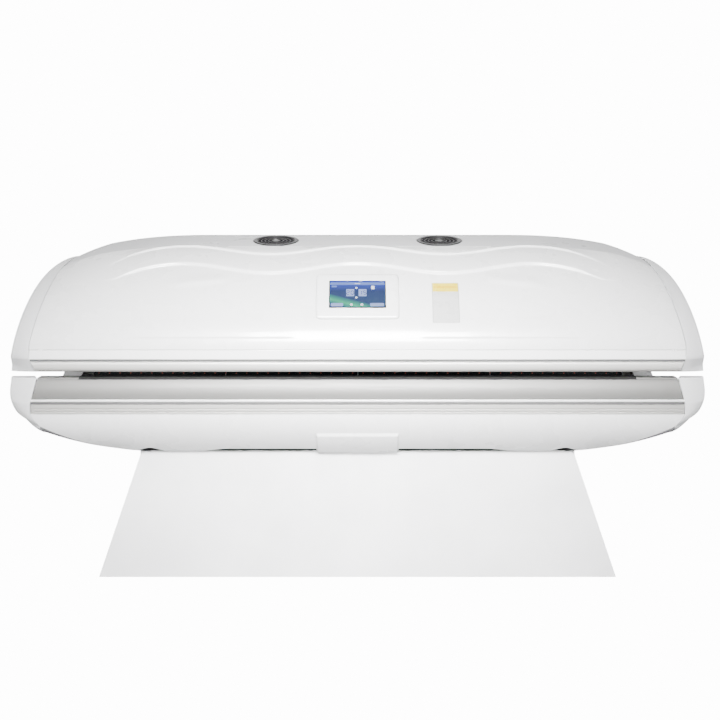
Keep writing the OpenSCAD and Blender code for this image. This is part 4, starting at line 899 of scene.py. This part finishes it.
# The bench's rail has the cove in front, the sheet's slot behind and a grooved flange below its web
bench_rail_outline = [(RAIL_FACE_Y, 568), (HALF_DEPTH, 569.5), (HALF_DEPTH, 576)]
bench_rail_outline += bowed((RAIL_FACE_Y, COVE_FOOT_Z), (EDGE_Y, COVE_TOP_Z), -5, 22)
bench_rail_outline += [
    (EDGE_Y - 3.6, COVE_TOP_Z), (EDGE_Y - 4, BENCH_EDGE_Z), (RAIL_LIP, BENCH_EDGE_Z),
    (RAIL_LIP, RAIL_LIP_Z), (SHEET_SLOT_Y, RAIL_LIP_Z), (SHEET_SLOT_Y, BENCH_SHEET_Z),
    (SHEET_LEDGE_Y, BENCH_SHEET_Z), (SHEET_LEDGE_Y, BENCH_SHEET_Z - 3), (SHEET_SLOT_Y, BENCH_SHEET_Z - 3),
    (SHEET_SLOT_Y, WEB_Z), (FLANGE_Y, WEB_Z), (FLANGE_Y, FLANGE_Z), (572, FLANGE_Z),
    (572.2, 533), (570, 534), (570, 536.5), (572.4, 537.5), (572.6, 542), (570.4, 543), (570.4, 545),
    (573, 546), (573, 557.5), (567.5, 559), (567.5, 567.5)]
# The bench's rail takes the metal whose cove is darkened as painted shade
for part, outline, end, metal in (("lid", lid_rail_outline, lid_rail_end, brushed_rail),
                                  ("bench", bench_rail_outline, bench_rail_end, cove_metal_painted_shade)):
    for side, sign in (("rear", 1), ("front", -1)):
        mesh = extruded([(sign * y, z) for y, z in outline], end)
        rail = piece(f"{part}_{side}_rail_surface", *mesh, part, metal, "brushed_rail", 0.9, 30)
        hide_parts(f"{part}_{side}_rail")

belt_top = math.degrees(math.asin(BELT_HEIGHT / LID_CROWN))
belt_outline = [(-HALF_DEPTH + BELT_WALL, BELT_FOOT_Z), (-HALF_DEPTH, BELT_FOOT_Z)]
belt_outline += [tuple(lid_point(0, t).yz) for t in steps(0, belt_top, 8)]
belt_outline += [(belt_outline[-1][0] + BELT_WALL, belt_outline[-1][1])]
belt_mesh = extruded(belt_outline, lambda z: RAIL_HALF)
belt = piece("lid_belt_surface", *belt_mesh, "lid", belt_white, "white_belt", 1.6, 30)
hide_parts("lid_front_belt")


# Console: a bevelled pad round the screen, the picture on the screen, and the card beside it
screen_turn = Matrix.Rotation(math.radians(lid_tilt(SCREEN_ANGLE)), 3, "X")
SCREEN_TOP = 5.2
PAD_CORNER = 14
PAD_RIM = 1.5
PAD_EDGE_STEPS = [0, 0.7, 1.8, 3.6, 6, 9]
PAD_LIP_STEPS = [0, 1.5, 3.5, 6, 8]
GLASS_STEP = 0.6


def on_screen(x, y, z):
    """A point from the screen's middle, along it, up it and out from its glass."""
    return screen_turn @ Vector((x, y, z + SCREEN_TOP)) + lid_point(0, SCREEN_ANGLE)


def up_screen(t):
    """How far up the screen's plane a point of the lid lies, and how far below that plane."""
    local = screen_turn.inverted() @ (lid_point(0, t) - lid_point(0, SCREEN_ANGLE))
    return local.y, -local.z


def lid_angle(v):
    """The angle on the lid at a distance up the screen's plane."""
    low, high = 0.0, RIDGE_ANGLE
    for _ in range(40):
        middle = (low + high) / 2
        low, high = (middle, high) if up_screen(middle)[0] < v else (low, middle)
    return low


PAD_LOW, PAD_HIGH = up_screen(CONSOLE_LOW)[0], up_screen(CONSOLE_HIGH)[0]
HOLE_X, HOLE_Y = SCREEN_WIDTH / 2 + JOINT_GAP, SCREEN_HEIGHT / 2 + JOINT_GAP


def pad_half(v):
    """The pad's half width at a distance up the screen's plane, with its corners rounded."""
    inside = min(v - PAD_LOW, PAD_HIGH - v)
    reach = max(0, PAD_CORNER - inside)
    return CONSOLE_HALF - PAD_CORNER + math.sqrt(max(0, PAD_CORNER ** 2 - reach ** 2))


def pad_height(x, v, drop):
    """The pad's height over the lid: a rounded rim, and a bevel down to the screen's glass."""
    edge = share(min(pad_half(v) - abs(x), v - PAD_LOW, PAD_HIGH - v) / PAD_EDGE_STEPS[-1])
    rim = blend(PAD_RIM, CONSOLE_RISE, math.sqrt(1 - (1 - edge) ** 2))
    lip_share = share(max(abs(x) - HOLE_X, abs(v) - HOLE_Y) / PAD_LIP_STEPS[-1])
    return min(rim, blend(SCREEN_TOP + GLASS_STEP + drop, CONSOLE_RISE, smooth(lip_share)))


pad_rows = [PAD_LOW + e for e in PAD_EDGE_STEPS] + [-HOLE_Y - e for e in reversed(PAD_LIP_STEPS)]
pad_rows += steps(-HOLE_Y, HOLE_Y, 14)[1:-1]
pad_rows += [HOLE_Y + e for e in PAD_LIP_STEPS] + [PAD_HIGH - e for e in reversed(PAD_EDGE_STEPS)]


def pad_grid(top):
    """The pad's top or its underside, as rows across the bed."""
    grid = []
    for v in pad_rows:
        t = lid_angle(v)
        drop = up_screen(t)[1]
        half = [pad_half(v) - e for e in PAD_EDGE_STEPS]
        half += [HOLE_X + e for e in reversed(PAD_LIP_STEPS)]
        row = [-x for x in half] + half[::-1]
        grid.append([lid_point(x, t, JOINT_GAP + (pad_height(x, v, drop) if top else 0)) for x in row])
    return [list(r) for r in zip(*grid)]


hole_start = len(PAD_EDGE_STEPS) + len(PAD_LIP_STEPS) - 1
hole_end = len(pad_rows) - hole_start - 1


def screen_hole(i, j):
    return i == hole_start and hole_start <= j < hole_end


pad_mesh = holed_mesh(pad_grid(True), pad_grid(False), screen_hole)
pad = piece("console_pad_surface", *pad_mesh, "lid", white_shell, "white_shell", 0.0, 60)
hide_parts("console_bezel")

# The picture: plain numbers, boxes and buttons, in shares of its size from its top left
PICTURE_WIDTH = 174
PICTURE_HEIGHT = 103
PICTURE_TOP = 0.25
STRIP_TOP = 0.4
BUTTON_TOP = 0.45
DIGIT_BASE = 0.5
DIGIT_TOP = 0.65
SEGMENTS_OF = {"0": "abcdef", "1": "bc", "2": "abged", "5": "afgcd"}
DIGIT_WIDTH = 8
DIGIT_HEIGHT = 15
SEGMENT_HALF = 0.9
SEGMENT_GAP = 0.5


def prism(ring, base, top):
    """A plate of an outline in millimetres from the screen's middle, between two heights over it."""
    points = [on_screen(x, y, z) for z in (base, top) for x, y in ring]
    return points, prism_faces(len(ring))


def rounded_plate(x0, x1, y0, y1, corner, base, top):
    """A thin plate on the picture, with rounded corners."""
    left, right = PICTURE_WIDTH * (x0 - 0.5), PICTURE_WIDTH * (x1 - 0.5)
    high, low = PICTURE_HEIGHT * (0.5 - y0), PICTURE_HEIGHT * (0.5 - y1)
    ring = []
    for cx, cy, start in ((right - corner, high - corner, 0), (left + corner, high - corner, 90),
                          (left + corner, low + corner, 180), (right - corner, low + corner, 270)):
        ring += [(cx + corner * cos(start + a), cy + corner * sin(start + a)) for a in steps(0, 90, 5)]
    return prism(ring, base, top)


def joined(parts):
    """Several meshes as one."""
    points, faces = [], []
    for more, own in parts:
        faces += [tuple(v + len(points) for v in f) for f in own]
        points += more
    return points, faces


def disc(x, y, radius, base, top):
    """A round plate on the picture, at a share of it across and down."""
    cx, cy = PICTURE_WIDTH * (x - 0.5), PICTURE_HEIGHT * (0.5 - y)
    return prism([(cx + radius * cos(a), cy + radius * sin(a)) for a in steps(0, 350, 35)], base, top)


def digit(character, x, y):
    """A plain number of seven bars, with its middle at a point of the screen in millimetres."""
    w, h = DIGIT_WIDTH / 2, DIGIT_HEIGHT / 2
    places = {"a": (0, h, 0), "g": (0, 0, 0), "d": (0, -h, 0), "f": (-w, h / 2, 90), "b": (w, h / 2, 90),
              "e": (-w, -h / 2, 90), "c": (w, -h / 2, 90)}
    bars = []
    for name in SEGMENTS_OF[character]:
        dx, dy, turn = places[name]
        long = (w if turn == 0 else h / 2) - SEGMENT_GAP
        short = long - SEGMENT_HALF
        bar = [(-long, 0), (-short, -SEGMENT_HALF), (short, -SEGMENT_HALF),
               (long, 0), (short, SEGMENT_HALF), (-short, SEGMENT_HALF)]
        ring = [(x + dx + a * cos(turn) - b * sin(turn), y + dy + a * sin(turn) + b * cos(turn))
                for a, b in bar]
        bars.append(prism(ring, DIGIT_BASE, DIGIT_TOP))
    return joined(bars)


def on_picture(name, parts, material):
    return piece(name, *joined(parts), "lid", material, "screen_glass", 0.0, 30)


picture = [rounded_plate(0, 1, 0, 1, 2, 0.02, PICTURE_TOP)]
strips = [rounded_plate(0.005, 0.995, 0.045, 0.14, 0.8, PICTURE_TOP, STRIP_TOP),
          rounded_plate(0.03, 0.12, 0.17, 0.235, 0.8, PICTURE_TOP, STRIP_TOP)]
boxes = [rounded_plate(x, x + 0.145, 0.31, 0.59, 2, PICTURE_TOP, STRIP_TOP) for x in (0.295, 0.52)]
boxes += [rounded_plate(0.02, 0.24, 0.86, 0.985, 3, PICTURE_TOP, STRIP_TOP),
          rounded_plate(0.73, 0.98, 0.86, 0.985, 3, PICTURE_TOP, STRIP_TOP)]
buttons = [disc(0.48, y, 3.4, PICTURE_TOP, BUTTON_TOP) for y in (0.26, 0.64)]
buttons += [disc(x, 0.92, 4.4, PICTURE_TOP, BUTTON_TOP) for x in (0.39, 0.58)]
buttons += [rounded_plate(0.45, 0.55, 0.08, 0.1, 0.5, STRIP_TOP, 0.5),
            rounded_plate(0.75, 0.81, 0.18, 0.31, 1.6, PICTURE_TOP, BUTTON_TOP)]
digits = [digit(character, PICTURE_WIDTH * (x - 0.5), 5)
          for character, x in (("2", 0.327), ("0", 0.407), ("1", 0.552), ("5", 0.632))]
on_picture("screen_picture", picture, screen_picture)
on_picture("screen_strips", strips, screen_pale)
on_picture("screen_boxes", boxes, screen_box)
on_picture("screen_buttons", buttons, screen_white)
on_picture("screen_digits", digits, screen_navy)

# Card beside the screen: blank, with a grey ring of painted shade along its edge and a plain band
CARD_TOP = JOINT_GAP + 1
CARD_MM_PER_DEGREE = 9


def card_strip_mesh(first, last, inset, base, top):
    """A strip across the card between two angles on the lid."""
    xs = steps(CARD_START + inset, CARD_START + CARD_WIDTH - inset, 4)
    return skin_mesh([[lid_point(x, t, top) for t in steps(first, last, 5)] for x in xs],
                     [[lid_point(x, t, base) for t in steps(first, last, 5)] for x in xs])


def card_edge_shade_ring(inset, wide, base, top):
    """A thin grey ring round the card: painted shade along its edge."""
    xs = [CARD_START + inset, CARD_START + inset + wide]
    xs += [2 * CARD_START + CARD_WIDTH - x for x in reversed(xs)]
    low, high, turn = CARD_LOW + 0.3, CARD_HIGH - 0.3, wide / CARD_MM_PER_DEGREE
    rows = [low, low + turn] + steps(20, 35, 6) + [high - turn, high]
    grids = [[[lid_point(x, t, off) for t in rows] for x in xs] for off in (top, base)]
    return holed_mesh(*grids, lambda i, j: i == 1 and 0 < j < len(rows) - 2)


edge_shade_mesh = card_edge_shade_ring(1.2, 1.6, CARD_TOP, CARD_TOP + 0.2)
band_mesh = card_strip_mesh(32.6, 37.2, 2.5, CARD_TOP, CARD_TOP + 0.3)
line_mesh = card_strip_mesh(34.6, 35.6, 6, CARD_TOP + 0.3, CARD_TOP + 0.5)
piece("card_edge_shade", *edge_shade_mesh, "lid", card_edge_shade_grey, "card_white")
piece("card_band", *band_mesh, "lid", card_yellow, "card_white")
piece("card_line", *line_mesh, "lid", card_strip, "card_white")


# Lenses of the light bars, on the flats round the tunnel
LENS_PITCH = 40
LENS_X = 980
LENS_RINGS = [(3.1, 0), (2.7, 1.1), (1.5, 2.0)]
LENS_SIDES = 8
BAR_SPACING = 50
BAR_HEIGHT = 4
BOARD_PITCH = 159


def lens(turn, centre, r, x, y):
    """A lens at a place along and across a board whose face lies at radius r."""
    around_lens = [(cos(360 * k / LENS_SIDES), sin(360 * k / LENS_SIDES)) for k in range(LENS_SIDES)]
    points = [turn @ Vector((x + radius * c, y + radius * s, r - rise)) + centre
              for radius, rise in LENS_RINGS for c, s in around_lens]
    faces = [tuple(range(2 * LENS_SIDES, 3 * LENS_SIDES))[::-1], tuple(range(LENS_SIDES))]
    for low in (0, LENS_SIDES):
        high = low + LENS_SIDES
        for k in range(LENS_SIDES):
            after = (k + 1) % LENS_SIDES
            faces.append((low + k, high + k, high + after, low + after))
    return points, faces


def lenses(boards, board_r, centre_z, sign):
    """The lenses of one half's boards, facing down into the lid's tunnel or up into the bench's."""
    parts = []
    pitch = math.degrees(BOARD_PITCH / board_r)
    for board in range(boards):
        turn = Matrix.Rotation(math.radians((board - (boards - 1) / 2) * pitch), 3, "X")
        if sign < 0:
            turn = Matrix.Diagonal((1, 1, -1)) @ turn
        parts += [lens(turn, Vector((0, 0, centre_z)), board_r - BAR_HEIGHT, x, bar * BAR_SPACING)
                  for bar in (-1, 0, 1) for x in steps(-LENS_X, LENS_X, round(2 * LENS_X / LENS_PITCH))]
    points, faces = joined(parts)
    if sign < 0:
        faces = [tuple(reversed(f)) for f in faces]
    return points, faces


lid_lenses = lenses(LID_BOARDS, LID_BOARD_RADIUS, LID_BOARD_CENTRE, 1)
bench_lenses = lenses(BENCH_BOARDS, BENCH_BOARD_RADIUS, BENCH_BOARD_CENTRE, -1)
piece("lid_lenses", *lid_lenses, "lid", lens_red, "light_bar", 0.0, 60)
piece("bench_lenses", *bench_lenses, "bench", lens_red, "light_bar", 0.0, 60)

# Camera at the photograph's place, and a plain studio
camera = placed("Camera", bpy.data.cameras.new("Camera"))
camera.location = (0.008, -5.175, 1.1835)
camera.rotation_euler = (math.radians(84), 0, 0)
camera.data.sensor_width = 36
camera.data.lens = 73.9
camera.data.clip_end = 100
bpy.context.scene.camera = camera


def area_light(name, place, aim, size, power, spread, mirrored_in_gloss):
    """A rectangular light at a place, turned towards its aim, in metres, watts and degrees."""
    light = bpy.data.lights.new(name, "AREA")
    light.spread = math.radians(spread)
    light.shape = "RECTANGLE"
    light.size, light.size_y = size
    light.energy = power
    obj = placed(name, light)
    obj.location = place
    obj.visible_glossy = mirrored_in_gloss
    obj.rotation_euler = (Vector(aim) - Vector(place)).to_track_quat("-Z", "Y").to_euler()


area_light("key_softbox", (0, -3.6, 2.3), (0, -0.3, 0.75), (1.2, 0.9), 80, 56, True)
area_light("low_softbox", (0, -4.2, -0.1), (0, -0.3, 0.5), (0.6, 0.5), 17, 44, False)
area_light("back_softbox", (0, 4.2, 2.4), (0, 0.3, 0.5), (2.4, 1.6), 170, 80, False)
for side in (-1, 1):
    area_light("side_softbox", (side * 4.4, 1.0, 1.3), (side * 1.0, 0.1, 0.6), (1.6, 1.6), 90, 80, False)

# Even light from all round, weaker from the ends and from above and below
world = bpy.data.worlds.new("Studio")
bpy.context.scene.world = world
world.use_nodes = True
nodes, links = world.node_tree.nodes, world.node_tree.links
around = nodes.new("ShaderNodeTexCoord")
folded = nodes.new("ShaderNodeVectorMath")
folded.operation = "ABSOLUTE"
falloff = nodes.new("ShaderNodeVectorMath")
falloff.operation = "DOT_PRODUCT"
falloff.inputs[1].default_value = (0.7, 0, 0.35)
brightness = nodes.new("ShaderNodeMath")
brightness.operation = "SUBTRACT"
brightness.inputs[0].default_value = 0.75
links.new(around.outputs["Generated"], folded.inputs[0])
links.new(folded.outputs[0], falloff.inputs[0])
links.new(falloff.outputs["Value"], brightness.inputs[1])
links.new(brightness.outputs[0], nodes["Background"].inputs["Strength"])
nodes["Background"].inputs["Color"].default_value = (1, 1, 1, 1)

# White all round for the camera alone, as in the photograph
white = bpy.data.materials.new("backdrop_white")
white.use_nodes = True
shader_of(white).inputs["Base Color"].default_value = (0, 0, 0, 1)
shader_of(white).inputs["Emission Color"].default_value = (1, 1, 1, 1)
shader_of(white).inputs["Emission Strength"].default_value = 14
BACKDROP_HALF = 28
ends = (-BACKDROP_HALF, BACKDROP_HALF)
backdrop_mesh = bpy.data.meshes.new("backdrop")
backdrop_mesh.from_pydata([(x, y, z) for x in ends for y in ends for z in ends], [], BOX_FACES)
backdrop_mesh.materials.append(white)
backdrop = placed("backdrop", backdrop_mesh)
backdrop.visible_diffuse = False
backdrop.visible_glossy = False
backdrop.visible_transmission = False
backdrop.visible_shadow = False
